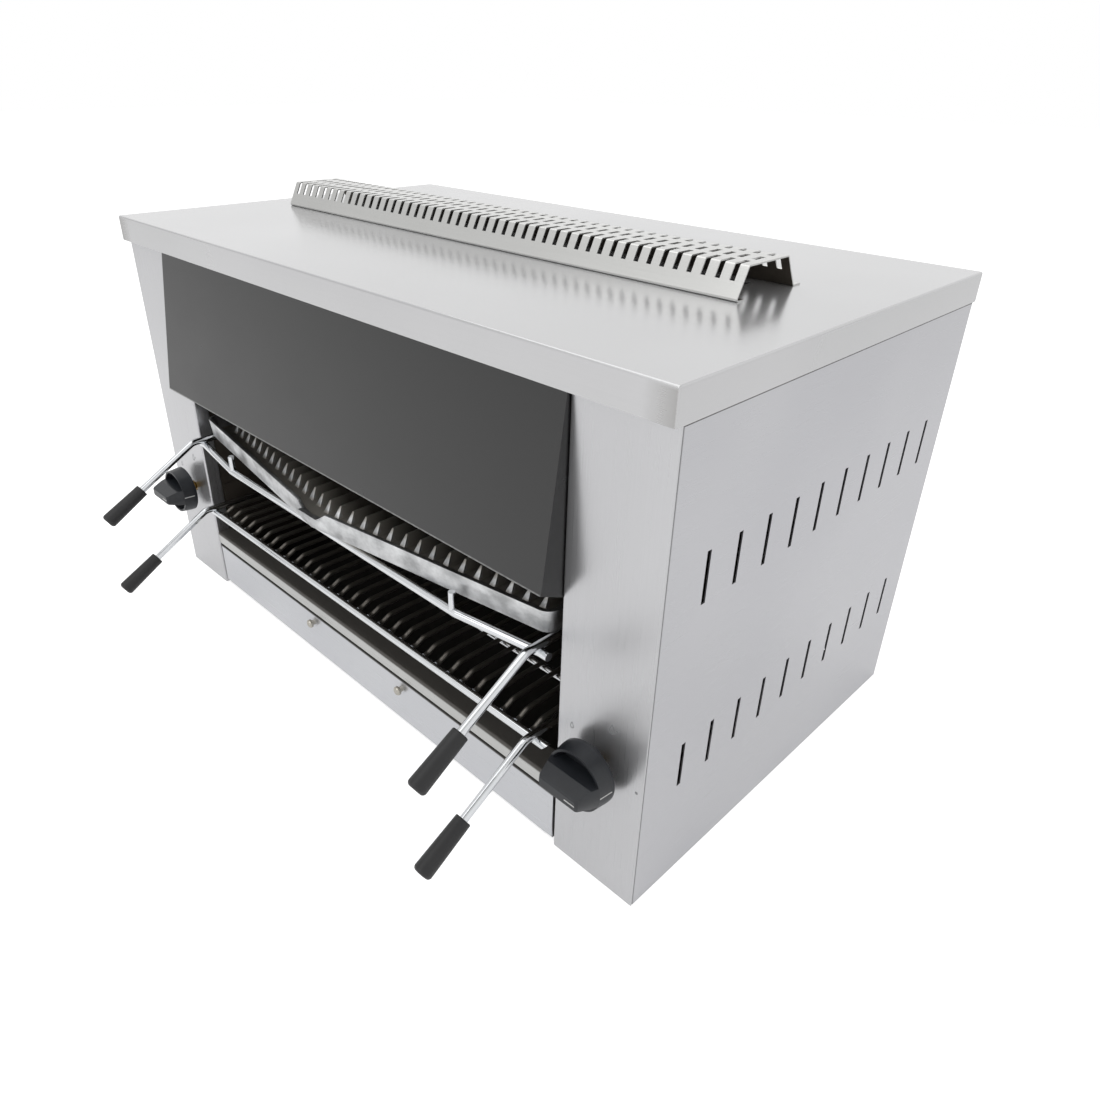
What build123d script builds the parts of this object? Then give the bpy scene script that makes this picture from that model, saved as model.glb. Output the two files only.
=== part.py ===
from build123d import *
import math
import os

# Gas cheese melter: a folded stainless casing, open at the front, with two burners under the lid,
# two sliding racks, a ribbed cast pan on the upper one and a crumb tray below.
# Millimetres. X runs along the width, Y from front to back, Z up.
# The origin is the middle of the underside that the casing rests on.

# ---- casing ----
WIDTH = 800.0            # over the two side panels
DEPTH = 455.0            # from the front columns to the back edge of the lid
HEIGHT = 463.5           # underside to the top of the lid
SHEET = 1.2              # stainless sheet
LINER = 1.0              # thinner sheet inside
BEND = 1.0               # inside radius of a fold
FRONT = -DEPTH / 2
BACK = DEPTH / 2
SIDE = WIDTH / 2
UNDER_LID = HEIGHT - SHEET
BAND = 27.0              # height of the lid's folded edge
LID_OVERHANG = 8.2       # how far the lid stands out past the columns
OPENING = 308.5          # half the width between the front columns
RETURN = 18.0            # depth of a column's inner fold
FLANGE = 15.0            # width of hidden joining flanges

# ---- flue guard on the lid ----
FLUE_CENTRE = -14.25
FLUE_LENGTH = 656.0
FLUE_FOOT = (182.0, 270.0)       # foot, measured back from the casing's front
FLUE_TOP = (195.5, 254.5)        # flat top, measured the same way
FLUE_RISE = 27.0
FLUE_SLOTS = 47
FLUE_PITCH = 13.8
FLUE_SLOT = 3.8
FLUE_SLOT_DROP = 10.5            # how far a slot runs down the sloped faces
FLUE_SLOT_TOP = 15.0             # and how far it runs over the flat top
THROAT_HALF = 280.0              # half length of the hole in the lid
THROAT = (201.0, 251.0)
DUCT_PLAY = 2.0                  # room along the duct where it passes through a sheet
DUCT_END_PLAY = 14.0             # more room at its two ends, where the long duct grows with heat

# ---- side vents ----
VENT_ROWS = (106.0, 285.0)       # lower end of each row of slots
VENT_LENGTH = 45.0
VENT_WIDTH = 5.0
VENT_FIRST = 50.0
VENT_PITCH = 40.0
VENT_COUNT = 10

# ---- front between the columns ----
CROSSBAR = (60.0, 77.0)
RECESS = 1.2                     # the crossbar and the tray's front stand this far behind the columns
DEFLECTOR_SHEET = 1.5
DEFLECTOR_HALF = 309.0
DEFLECTOR_LOW = (24.4, 281.0)    # how far its lower edge stands out, and how high it is
DEFLECTOR_TOP = (2.6, 438.5)
CHEEK_BACK = 12.0
CHEEK_LOW = 264.0
TRAY_FRONT = (4.0, 58.6)
TRAY_FRONT_HALF = 305.5
TRAY_HALF = 298.0
TRAY_LENGTH = 392.0
TRAY_WALL = 24.0
PULL_X = 84.0
PULL_Z = 46.5

# ---- racks ----
RAIL = 8.0                       # rails and side rods
WIRE = 5.0
RAIL_HALF = 303.0
SIDE_ROD_X = 288.5
LOWER_ROD_Z = 123.0
UPPER_ROD_Z = 216.0
RACK_BACK = 376.0                # rear end of a rack, back from the casing's front
RAILS_BACK = (72.0, 222.0, 370.0)
LOWER_RAIL_OUT = 4.0             # front rail's distance ahead of the casing
UPPER_RAILS_BACK = (200.0, 370.0)
UPPER_RAIL_OUT = 15.5
UPPER_RAIL_END_OUT = 2.0
UPPER_RAIL_HALF = 298.0
BOW_X = 199.0
BOW_END_X = 289.0
LOWER_WIRES = 31
LOWER_PITCH = 18.5
WIRE_END = (3.2, 1.0)            # where a wire meets the front rail: behind and above its middle
WIRE_RISE = (8.0, 18.0)          # where its front end rises, measured from the same middle
PEG_X = 194.5
PEG_RISE = 16.0
PEG = 6.5
LEDGE_INNER = 292.0
REST_GAP = 0.3                   # play under round bars that rest on a flat

# ---- handles ----
HANDLE_BEND_OUT = 18.0
HANDLE_ANGLE = 30.0
HANDLE_FREE = 80.5               # bare rod between bend and grip
HANDLE_RADIUS = 14.0
GRIP_LENGTH = 53.5
GRIP_THIN = 15.0
GRIP_THICK = 17.5
GRIP_BORE = 40.0

# ---- ribbed pan ----
PAN_HALF = 289.0                 # half width of its underside
PAN_APEX_OUT = 33.0              # the front wall comes to a shallow point here
PAN_CORNER_BACK = 7.5
PAN_BACK = 352.0
PAN_HEIGHT = 22.0
PAN_WALL = 4.0
PAN_DRAFT = 6.0                  # degrees that the walls lean out
PAN_RADIUS = 11.0
PAN_RIBS = 30
PAN_PITCH = 18.1
RIB_FOOT = 8.0
RIB_CREST = 2.4
RIB_HEIGHT = 12.0
RIB_GUTTER = 22.0
NOTCH = (27.0, 14.0, 8.0)        # half width at the rim, half width below, depth

# ---- burners ----
CEILING = 331.0                  # underside of the burner frame
BURNER_INNER = 10.0
BURNER_WIDTH = 280.0
BURNER_FRONT = 66.0
BURNER_LENGTH = 268.0
BURNER_RISE = 48.0
TILE = (92.0, 132.0, 12.0)
TILE_GAP = 0.5
SCREEN_DROP = 9.0
VENTURI = 28.0
SHIELD_Z = 398.0
LINER_BACK = 400.0

# ---- gas valves and knobs ----
VALVE_X = 352.5
VALVE_Z = 130.0
SPINDLE = 8.0
PRESS_TRAVEL = 4.0
KNOB_GAP = 10.0
KNOB_HEIGHT = 37.0
KNOB_RADIUS = 28.75
KNOB_FRONT_RADIUS = 20.0
KNOB_SKIRT = 17.0                # depth of the skirt
KNOB_DISH = 8.0                  # height of the hollows' floor beside the bar
KNOB_BAR = (10.5, 9.5, 5.0)      # half thickness of the bar at its foot, at its ridge and in front
KNOB_RIDGE = 23.0
PIPE = 12.0
PIPE_Z = 60.0
PIPE_BACK = 427.0
INLET_X = 300.0
INLET = 20.955                   # outside of a half-inch gas thread
INLET_OUT = 22.0
FEED = 8.0
CAPILLARY = 3.0

# ---- small fasteners ----
SCREW = 4.0
SCREW_HEAD = 8.0
SCREW_HOLE = 4.2

parts = {}


def back(distance):
    """Y of a place measured back from the casing's front."""
    return FRONT + distance


def block(x0, x1, y0, y1, z0, z1):
    centre = Pos((x0 + x1) / 2, (y0 + y1) / 2, (z0 + z1) / 2)
    return centre * Box(abs(x1 - x0), abs(y1 - y0), abs(z1 - z0))


def bar(start, end, diameter):
    """Round bar or drill between two points."""
    a, b = Vector(*start), Vector(*end)
    return Solid.make_cylinder(diameter / 2, (b - a).length, Plane(origin=a, z_dir=b - a))


def bent_bar(points, diameter, radius):
    """Round bar along straight runs joined by arcs."""
    path = FilletPolyline(*points, radius=radius)
    start = Plane(origin=points[0], z_dir=Vector(*points[1]) - Vector(*points[0]))
    return sweep(start * Circle(diameter / 2), path=path)


def mitred(points, thickness):
    """The other side of a folded sheet, which lies to the left of the points."""
    normals = []
    for (x0, y0), (x1, y1) in zip(points, points[1:]):
        length = math.hypot(x1 - x0, y1 - y0)
        normals.append((-(y1 - y0) / length, (x1 - x0) / length))
    moved = []
    for i, (x, y) in enumerate(points):
        a = normals[max(i - 1, 0)]
        b = normals[min(i, len(normals) - 1)]
        scale = thickness / (1 + a[0] * b[0] + a[1] * b[1])
        moved.append((x + (a[0] + b[0]) * scale, y + (a[1] + b[1]) * scale))
    return moved


def folded(points, thickness=SHEET, bend=BEND):
    """Section of a sheet folded along the points, with rounded bends."""
    other = mitred(points, thickness)
    near, far = [], []
    for a, b, c in zip(points, points[1:], points[2:]):
        left = (b[0] - a[0]) * (c[1] - b[1]) - (b[1] - a[1]) * (c[0] - b[0]) > 0
        near.append(bend + thickness if left else bend)
        far.append(bend if left else bend + thickness)
    if near:
        outer = FilletPolyline(*points, radius=near)
        inner = FilletPolyline(*other, radius=far)
    else:
        outer = Line(*points)
        inner = Line(*other)
    ends = [Line(points[0], other[0]), Line(points[-1], other[-1])]
    edges = [*outer.edges(), *inner.edges()]
    for end in ends:
        edges.extend(end.edges())
    return make_face(edges)


def along_x(section, x0, x1):
    """A section drawn in Y and Z, extruded from x0 to x1."""
    return extrude(Pos(x0, 0, 0) * (Plane.YZ * section), amount=x1 - x0, dir=(1, 0, 0))


def along_y(section, y0, y1):
    """A section drawn in X and Z, extruded from y0 to y1."""
    return extrude(Pos(0, y0, 0) * (Plane.XZ * section), amount=y1 - y0, dir=(0, 1, 0))


def along_z(section, z0, z1):
    """A section drawn in X and Y, extruded from z0 to z1."""
    return extrude(Pos(0, 0, z0) * section, amount=z1 - z0, dir=(0, 0, 1))


def outline(*points):
    return make_face(Polyline(*points, close=True))


def both_sides(name, right):
    """A right-hand piece and its mirror image on the left."""
    parts["right_" + name] = right
    parts["left_" + name] = mirror(right, about=Plane.YZ)


def pair(right):
    """A small right-hand piece and its mirror image, kept together."""
    return [right, mirror(right, about=Plane.YZ)]


def screw(tip, way):
    """Pan-head screw: its seat is at tip, and its head stands out along way."""
    seat, out = Vector(*tip), Vector(*way)
    shank = bar(seat - out * 6, seat, SCREW)
    head = Solid.make_cone(SCREW_HEAD / 2, SCREW_HEAD / 2 - 1.2, 2.4, Plane(origin=seat, z_dir=out))
    return shank.fuse(head)


def drill(tip, way, depth=8.0, diameter=SCREW_HOLE):
    seat, out = Vector(*tip), Vector(*way)
    return bar(seat - out * depth, seat + out * 4, diameter)


# ---------------------------------------------------------------- outer casing

REAR_SCREWS = [
    (side * (SIDE - SHEET - 8), BACK - SHEET, z)
    for side in (-1, 1)
    for z in (25.0, 155.0, 285.0, 415.0)
]
REAR_WAY = (0, 1, 0)


def lid():
    """Pan folded from one sheet, its corners welded, with the flue hole in its top."""
    front, rear = FRONT - LID_OVERHANG, BACK
    side = SIDE + SHEET
    shell = block(-side, side, front, rear, HEIGHT - BAND, HEIGHT)
    upright = shell.edges().filter_by(Axis.Z)
    rim = shell.edges().group_by(Axis.Z)[-1]
    shell = fillet([*upright, *rim], SHEET * 1.6)
    shell -= block(-SIDE, SIDE, front + SHEET, rear - SHEET, 0, UNDER_LID)
    return shell - throat(LINER + DUCT_PLAY, UNDER_LID - 5, HEIGHT + 5, DUCT_END_PLAY)


def throat(margin, z0, z1, end=0.0):
    """The passage of the flue gases between two heights, grown by a margin, and more at its ends."""
    half = THROAT_HALF + margin + end
    return block(
        FLUE_CENTRE - half, FLUE_CENTRE + half, back(THROAT[0] - margin), back(THROAT[1] + margin), z0, z1,
    )


def flue_guard():
    """Trapezoid channel, open at both ends, with rows of slots that wrap over its folds."""
    points = [
        (back(FLUE_FOOT[0] + 11), HEIGHT),
        (back(FLUE_FOOT[0]), HEIGHT),
        (back(FLUE_TOP[0]), HEIGHT + FLUE_RISE),
        (back(FLUE_TOP[1]), HEIGHT + FLUE_RISE),
        (back(FLUE_FOOT[1]), HEIGHT),
        (back(FLUE_FOOT[1] + 10), HEIGHT),
    ]
    # The front foot turns under the channel and the rear one turns out behind it.
    outer = points[1:5]
    inner = mitred(outer[::-1], SHEET)[::-1]
    front_foot = [points[0], (points[0][0], HEIGHT + SHEET)]
    rear_foot = [(points[5][0], HEIGHT + SHEET), points[5]]
    lift = HEIGHT + SHEET
    run = (outer[1][0] - outer[0][0]) / FLUE_RISE
    inner_front = (inner[0][0] + run * SHEET, lift)
    outer_rear = (outer[3][0] - (outer[3][0] - outer[2][0]) / FLUE_RISE * SHEET, lift)
    section = outline(
        outer[0], front_foot[0], front_foot[1], inner_front, inner[1], inner[2],
        (inner[3][0], HEIGHT), rear_foot[1], rear_foot[0], outer_rear, outer[2], outer[1],
    )
    half = FLUE_LENGTH / 2
    guard = along_x(section, FLUE_CENTRE - half, FLUE_CENTRE + half)
    top = HEIGHT + FLUE_RISE
    deep = top - FLUE_SLOT_DROP
    first, last = FLUE_TOP
    middle = (first + last) / 2
    runs = [
        (back(first - 12), back(first + FLUE_SLOT_TOP), deep),
        (back(middle - 7), back(middle + 7), top - 4),
        (back(last - 13), back(last + 12), deep),
    ]
    cutters = []
    for i in range(FLUE_SLOTS):
        x = FLUE_CENTRE + (i - (FLUE_SLOTS - 1) / 2) * FLUE_PITCH
        for y0, y1, z0 in runs:
            cutters.append(block(x - FLUE_SLOT / 2, x + FLUE_SLOT / 2, y0, y1, z0, top + 2))
    return guard - cutters


def side_panel():
    """Right-hand panel: its edges fold in behind the column and the rear panel."""
    y0, y1 = FRONT + SHEET, BACK - 2 * SHEET
    section = folded([
        (SIDE - FLANGE, y0), (SIDE, y0), (SIDE, y1), (SIDE - FLANGE, y1),
    ])
    panel = along_z(section, 0, UNDER_LID)
    slots = []
    for z in VENT_ROWS:
        for i in range(VENT_COUNT):
            y = back(VENT_FIRST + i * VENT_PITCH)
            slots.append(block(
                SIDE - 3, SIDE + 3, y - VENT_WIDTH / 2, y + VENT_WIDTH / 2, z, z + VENT_LENGTH,
            ))
    holes = [drill(place, REAR_WAY) for place in REAR_SCREWS if place[0] > 0]
    return panel - slots - holes


def front_column():
    """Right-hand column: the broad front face that carries the knob."""
    section = folded([
        (OPENING + FLANGE, back(RETURN - SHEET)), (OPENING + SHEET, back(RETURN - SHEET)),
        (OPENING + SHEET, back(SHEET)), (SIDE, back(SHEET)),
    ][::-1])
    column = along_z(section, 0, UNDER_LID)
    column -= bar((VALVE_X, FRONT - 5, VALVE_Z), (VALVE_X, FRONT + 5, VALVE_Z), SPINDLE + 6)
    return column - [drill(place, way) for place, way in cheek_screws() if place[0] > 0]


def rear_panel():
    side = SIDE - SHEET
    panel = block(-side, side, BACK - 2 * SHEET, BACK - SHEET, SHEET, UNDER_LID)
    inlet = bar((INLET_X, BACK - 20, PIPE_Z), (INLET_X, BACK + 20, PIPE_Z), INLET + 1)
    return panel - inlet - [drill(place, REAR_WAY) for place in REAR_SCREWS]


def base_panel():
    """Shallow tray that closes the underside; its sides stand up against the side panels."""
    side = SIDE - SHEET
    section = folded([(-side, 22), (-side, 0), (side, 0), (side, 22)])
    return along_y(section, back(RETURN), BACK - 3 * SHEET - BEND)


def front_crossbar():
    """Channel between the columns, above the crumb tray."""
    low, high = CROSSBAR
    section = folded([
        (back(30), high - 9), (back(30), high), (back(RECESS), high), (back(RECESS), low), (back(16), low),
    ])
    return along_x(section, -OPENING, OPENING)


def front_header():
    """Channel between the columns behind the lid's edge; it carries the heat deflector."""
    low = DEFLECTOR_TOP[1] + DEFLECTOR_SHEET
    section = folded([
        (back(22), UNDER_LID), (back(3), UNDER_LID), (back(3), low), (back(22), low),
    ])
    return along_x(section, -OPENING, OPENING)


# ---------------------------------------------------------------- heat deflector

def cheek_screws():
    """Places and outward ways of the screws through the deflector's cheeks."""
    inner = OPENING - DEFLECTOR_SHEET
    return [
        ((side * inner, back(7), z), (-side, 0, 0))
        for side in (-1, 1)
        for z in (300.0, 420.0)
    ]


def heat_deflector():
    """Leaning front sheet with a hem below, a flange above and a cheek at each end."""
    t = DEFLECTOR_SHEET
    low = (FRONT - DEFLECTOR_LOW[0], DEFLECTOR_LOW[1])
    high = (FRONT - DEFLECTOR_TOP[0], DEFLECTOR_TOP[1] + t)
    face = along_x(folded([high, low], t), -DEFLECTOR_HALF, DEFLECTOR_HALF)
    lean = math.atan2(high[0] - low[0], high[1] - low[1])
    hem_end = (low[0] + 9 * math.cos(lean), low[1] - 9 * math.sin(lean))
    half = OPENING - t
    hem = along_x(folded([low, hem_end], t), -half, half)
    flange = block(-half, half, high[0] + 0.8, back(CHEEK_BACK), high[1] - t, high[1])
    cheek = outline(
        (low[0] + 0.2, low[1]), (high[0] + 0.2, high[1]),
        (back(CHEEK_BACK), high[1]), (back(CHEEK_BACK), CHEEK_LOW),
    )
    cheeks = [along_x(cheek, half, OPENING), along_x(cheek, -OPENING, -half)]
    return face + hem + flange + cheeks - [drill(p, w) for p, w in cheek_screws()]


# ---------------------------------------------------------------- cavity

def side_liner():
    """Right-hand wall of the cavity; its flanges stand on the base and carry the burner frame."""
    x = OPENING + SHEET
    section = folded([(x + FLANGE, SHEET), (x, SHEET), (x, CEILING), (x + FLANGE, CEILING)][::-1], LINER)
    return along_y(section, back(RETURN), back(LINER_BACK))


def rear_liner():
    x = OPENING + SHEET
    return block(-x, x, back(LINER_BACK) - LINER, back(LINER_BACK), SHEET, CEILING)


def rack_runner(rod_z):
    """Right-hand ledge that the ends of a rack's rails slide on."""
    x = OPENING + SHEET
    top = rod_z - 1.5 * RAIL - REST_GAP
    section = folded([(x, top + 30), (x, top - SHEET), (LEDGE_INNER, top - SHEET)][::-1])
    return along_y(section, back(RETURN + 2), back(LINER_BACK - 4))


def tray_runner():
    """Right-hand ledge under the crumb tray."""
    x = OPENING + SHEET
    floor = TRAY_FRONT[0]
    section = folded([(x - 24, floor - SHEET), (x, floor - SHEET), (x, floor + 26)])
    return along_y(section, back(RETURN + 2), back(LINER_BACK - 4))


# ---------------------------------------------------------------- racks

def rack_rail(y, z):
    return bar((-RAIL_HALF, y, z), (RAIL_HALF, y, z), RAIL)


def rail_ends(y, z):
    """Cutters that slope the ends of a front rail."""
    cuts = []
    for side in (-1, 1):
        tip = side * (RAIL_HALF + 1)
        foot = side * (RAIL_HALF - 9)
        wedge = outline((tip, z - 6), (foot, z - 6), (tip, z + 5))
        cuts.append(along_y(wedge, y - 8, y + 8))
    return cuts


def rack_wire(front, rail_z):
    """Long wire over the rails, its front end set down to butt against the front rail from behind."""
    end_z = rail_z + WIRE_END[1]
    wire_z = rail_z + RAIL / 2 + WIRE / 2 - 0.4
    points = [
        (0, front + WIRE_END[0], end_z), (0, front + WIRE_RISE[0], end_z),
        (0, front + WIRE_RISE[1], wire_z), (0, back(RAILS_BACK[-1] + 4), wire_z),
    ]
    return bent_bar(points, WIRE, 8)


def lower_rack():
    """Wire grid: long wires front to back, welded on rails that run across."""
    rail_z = LOWER_ROD_Z - RAIL
    front = FRONT - LOWER_RAIL_OUT
    rack = rack_rail(front, rail_z).cut(*rail_ends(front, rail_z))
    pieces = [rack_rail(back(y), rail_z) for y in RAILS_BACK]
    wire = rack_wire(front, rail_z)
    for i in range(LOWER_WIRES):
        pieces.append(Pos((i - (LOWER_WIRES - 1) / 2) * LOWER_PITCH, 0, 0) * wire)
    return Part() + rack + pieces


def upper_front_rail(z):
    """Front rail bowed forward between the pegs, to follow the pan's front wall."""
    end, middle = FRONT - UPPER_RAIL_END_OUT, FRONT - UPPER_RAIL_OUT
    points = [
        (-UPPER_RAIL_HALF, end, z), (-BOW_END_X, end, z), (-BOW_X, middle, z),
        (BOW_X, middle, z), (BOW_END_X, end, z), (UPPER_RAIL_HALF, end, z),
    ]
    return bent_bar(points, RAIL, 24)


def upper_rack():
    """Open frame that carries the pan: bowed front rail with two pegs, and two straight rails."""
    z = UPPER_ROD_Z - RAIL
    pieces = [rack_rail(back(y), z) for y in UPPER_RAILS_BACK]
    y = FRONT - UPPER_RAIL_OUT
    for side in (-1, 1):
        x = side * PEG_X
        pieces.append(bar((x, y, z), (x, y, z + RAIL / 2 + PEG_RISE), PEG))
    return [upper_front_rail(z) + pieces[2:], *pieces[:2]]


def handle_point(distance, rod_z, x=SIDE_ROD_X):
    """Point on a handle's sloping centre line, measured from the bend."""
    angle = math.radians(HANDLE_ANGLE)
    y = FRONT - HANDLE_BEND_OUT - distance * math.cos(angle)
    return (x, y, rod_z - distance * math.sin(angle))


def side_rod(rod_z):
    """Right-hand side rod of a rack, bent down in front to carry its grip."""
    points = [
        (SIDE_ROD_X, back(RACK_BACK), rod_z), handle_point(0, rod_z),
        handle_point(HANDLE_FREE + GRIP_BORE, rod_z),
    ]
    return bent_bar(points, RAIL, HANDLE_RADIUS)


def grip(rod_z):
    """Right-hand tapered grip, moulded over the end of its rod."""
    start = Vector(*handle_point(HANDLE_FREE, rod_z))
    end = Vector(*handle_point(HANDLE_FREE + GRIP_LENGTH, rod_z))
    thin, thick = GRIP_THIN / 2, GRIP_THICK / 2
    corners = [
        (RAIL / 2, 0), (thin, 0), (thick, GRIP_LENGTH), (0, GRIP_LENGTH),
    ]
    edge = FilletPolyline(*corners, radius=[1.2, 3.5])
    bore = Polyline((0, GRIP_LENGTH), (0, GRIP_BORE), (RAIL / 2, GRIP_BORE), (RAIL / 2, 0))
    turned = revolve(Plane.XZ * make_face([*edge.edges(), *bore.edges()]), Axis.Z)
    return Plane(origin=start, z_dir=end - start).location * turned


# ---------------------------------------------------------------- ribbed pan

def pan_front(x):
    """Y of the pan's front wall at x: two straight halves that meet at a shallow point."""
    rise = (PAN_CORNER_BACK + PAN_APEX_OUT) / PAN_HALF
    return FRONT - PAN_APEX_OUT + rise * abs(x)


def pan_outline(inset):
    half = PAN_HALF - inset
    face = outline(
        (-half, pan_front(half) + inset), (0, pan_front(0) + inset), (half, pan_front(half) + inset),
        (half, back(PAN_BACK) - inset), (-half, back(PAN_BACK) - inset),
    )
    corners = [v for v in face.vertices() if abs(v.X) > 1]
    return fillet(corners, PAN_RADIUS - inset)


def drafted(face, z, height):
    """The face extruded up from z, its walls leaning out."""
    return extrude(Pos(0, 0, z) * face, amount=height, dir=(0, 0, 1), taper=-PAN_DRAFT)


def pan_rib(x, floor):
    """Rib of tapered section from the front gutter to the back of the pan."""
    foot, crest = RIB_FOOT / 2, RIB_CREST / 2
    section = outline(
        (x - foot, floor - 0.5), (x + foot, floor - 0.5),
        (x + crest, floor + RIB_HEIGHT), (x - crest, floor + RIB_HEIGHT),
    )
    return along_y(section, pan_front(x) + RIB_GUTTER, back(PAN_BACK) - RIB_GUTTER)


def brander_pan():
    """Cast pan: shallow V front with a pouring lip at its point, and ribs across the floor."""
    bottom = UPPER_ROD_Z + RAIL / 2 + REST_GAP
    floor = bottom + PAN_WALL
    rim = bottom + PAN_HEIGHT
    wide, narrow, deep = NOTCH
    apex = pan_front(0)
    pan = drafted(pan_outline(0), bottom, PAN_HEIGHT)
    lip = outline((apex + 5, bottom + 7), (apex + 5, rim), (apex - 7, rim), (apex - 6, rim - 5))
    pan += along_x(lip, -narrow - 2, narrow + 2)
    pan -= drafted(pan_outline(PAN_WALL), floor, PAN_HEIGHT)
    notch = outline((-wide, rim + 1), (-narrow, rim - deep), (narrow, rim - deep), (wide, rim + 1))
    pan -= along_y(notch, apex - 12, apex + 12)
    ribs = []
    for i in range(PAN_RIBS):
        ribs.append(pan_rib((i - (PAN_RIBS - 1) / 2) * PAN_PITCH, floor))
    return pan + ribs


# ---------------------------------------------------------------- crumb tray

def crumb_tray():
    """Pull-out tray: a folded front that fills the space between the columns, and a pan behind."""
    low, high = TRAY_FRONT
    front = along_x(folded([
        (back(14), low), (back(RECESS), low), (back(RECESS), high), (back(14), high),
    ][::-1]), -TRAY_FRONT_HALF, TRAY_FRONT_HALF)
    ends = [
        block(side * TRAY_FRONT_HALF, side * (TRAY_FRONT_HALF - SHEET), back(RECESS + 1), back(14), low, high)
        for side in (-1, 1)
    ]
    y0, y1 = back(RECESS + SHEET / 2), back(TRAY_LENGTH)
    pan = block(-TRAY_HALF, TRAY_HALF, y0, y1, low, low + TRAY_WALL)
    pan -= block(
        -TRAY_HALF + LINER, TRAY_HALF - LINER, back(RECESS + SHEET), y1 - LINER, low + LINER, low + TRAY_WALL + 1,
    )
    holes = [drill((side * PULL_X, back(RECESS), PULL_Z), (0, -1, 0)) for side in (-1, 1)]
    return front + ends + pan - holes


def tray_pulls():
    """Two small turned knobs, each with its stud through the tray's front."""
    section = outline(
        (0, -4), (2, -4), (2, 0), (3, 0), (3, 2.2), (5, 3.4), (5, 5.8), (3.9, 7), (0, 7),
    )
    turned = revolve(Plane.XZ * section, Axis.Z)
    # The turned piece is drawn upright and then laid to point out of the front.
    return [Pos(side * PULL_X, back(RECESS), PULL_Z) * Rot(X=90) * turned for side in (-1, 1)]


# ---------------------------------------------------------------- burners and flue

def burner_frame():
    """Sheet that closes the cavity above: two burner windows and slots for the flue gases."""
    x = OPENING + SHEET + FLANGE
    z0, z1 = CEILING, CEILING + SHEET
    frame = block(-x, x, back(RETURN + 2), back(LINER_BACK), z0, z1)
    lip = 6.0
    cuts = []
    for side in (-1, 1):
        near = side * (BURNER_INNER + lip)
        far = side * (BURNER_INNER + BURNER_WIDTH - lip)
        cuts.append(block(
            near, far, back(BURNER_FRONT + lip), back(BURNER_FRONT + BURNER_LENGTH - lip), z0 - 2, z1 + 2,
        ))
        for y0 in (BURNER_FRONT - 26, BURNER_FRONT + BURNER_LENGTH + 14):
            for i in range(5):
                x0 = side * (BURNER_INNER + 8 + i * 55)
                cuts.append(block(x0, x0 + side * 42, back(y0), back(y0 + 12), z0 - 2, z1 + 2))
    return frame - cuts


def burner_housing():
    """Right-hand plenum box over the ceramic tiles, open below and bored for the mixing tube."""
    x0, x1 = BURNER_INNER, BURNER_INNER + BURNER_WIDTH
    y0, y1 = back(BURNER_FRONT), back(BURNER_FRONT + BURNER_LENGTH)
    z0 = CEILING + SHEET
    box = block(x0, x1, y0, y1, z0, z0 + BURNER_RISE)
    box = fillet(box.edges().group_by(Axis.Z)[-1], 4)
    box -= block(x0 + SHEET, x1 - SHEET, y0 + SHEET, y1 - SHEET, z0 - 1, z0 + BURNER_RISE - SHEET)
    y = (y0 + y1) / 2
    return box - bar((x1 - 10, y, venturi_z()), (x1 + 10, y, venturi_z()), VENTURI)


def venturi_z():
    return CEILING + SHEET + BURNER_RISE - 19


def burner_tiles():
    """Right-hand set of six ceramic tiles, resting on the lips of the window."""
    x = BURNER_INNER + BURNER_WIDTH / 2
    y = back(BURNER_FRONT + BURNER_LENGTH / 2)
    z = CEILING + SHEET + TILE[2] / 2
    tiles = []
    for i in (-1, 0, 1):
        for j in (-0.5, 0.5):
            place = Pos(x + i * (TILE[0] + TILE_GAP), y + j * (TILE[1] + TILE_GAP), z)
            tile = Box(*TILE)
            groove = Box(TILE[0] - 16, 2, 3)
            cuts = [Pos(0, -48 + k * 24, -TILE[2] / 2) * groove for k in range(5)]
            tiles.append(place * (tile - cuts))
    return tiles


def radiant_screen():
    """Right-hand wire screen hung just below the tiles."""
    x0, x1 = BURNER_INNER + 2, BURNER_INNER + BURNER_WIDTH - 2
    y0, y1 = back(BURNER_FRONT + 2), back(BURNER_FRONT + BURNER_LENGTH - 2)
    low, high = CEILING - SCREEN_DROP, CEILING
    ring = block(x0, x1, y0, y1, low, high)
    ring -= block(x0 + 1.5, x1 - 1.5, y0 + 1.5, y1 - 1.5, low - 1, high + 1)
    wires = []
    count = 15
    for i in range(count):
        x = x0 + (i + 1) * (x1 - x0) / (count + 1)
        wires.append(block(x - 1, x + 1, y0 + 1, y1 - 1, low + 1, low + 3))
    for i in range(3):
        y = y0 + (i + 1) * (y1 - y0) / 4
        wires.append(block(x0 + 1, x1 - 1, y - 1, y + 1, low + 2.5, low + 4.5))
    return ring + wires


def mixing_tube():
    """Right-hand venturi: a flared tube that carries gas and air into the plenum."""
    x0 = BURNER_INNER + BURNER_WIDTH - SHEET - 4
    reach = 40.0
    flare = VENTURI / 2 + 5
    section = outline(
        (VENTURI / 2 - 1.5, 0), (VENTURI / 2 - 0.05, 0), (VENTURI / 2 - 0.05, 5.2),
        (VENTURI / 2 + 2.5, 5.2), (VENTURI / 2 + 2.5, 7), (VENTURI / 2, 7),
        (VENTURI / 2, reach - 10), (flare, reach), (flare - 1.5, reach),
        (VENTURI / 2 - 1.5, reach - 10),
    )
    turned = revolve(Plane.XZ * section, Axis.Z)
    y = back(BURNER_FRONT + BURNER_LENGTH / 2)
    return Pos(x0, y, venturi_z()) * Rot(Y=90) * turned


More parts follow.
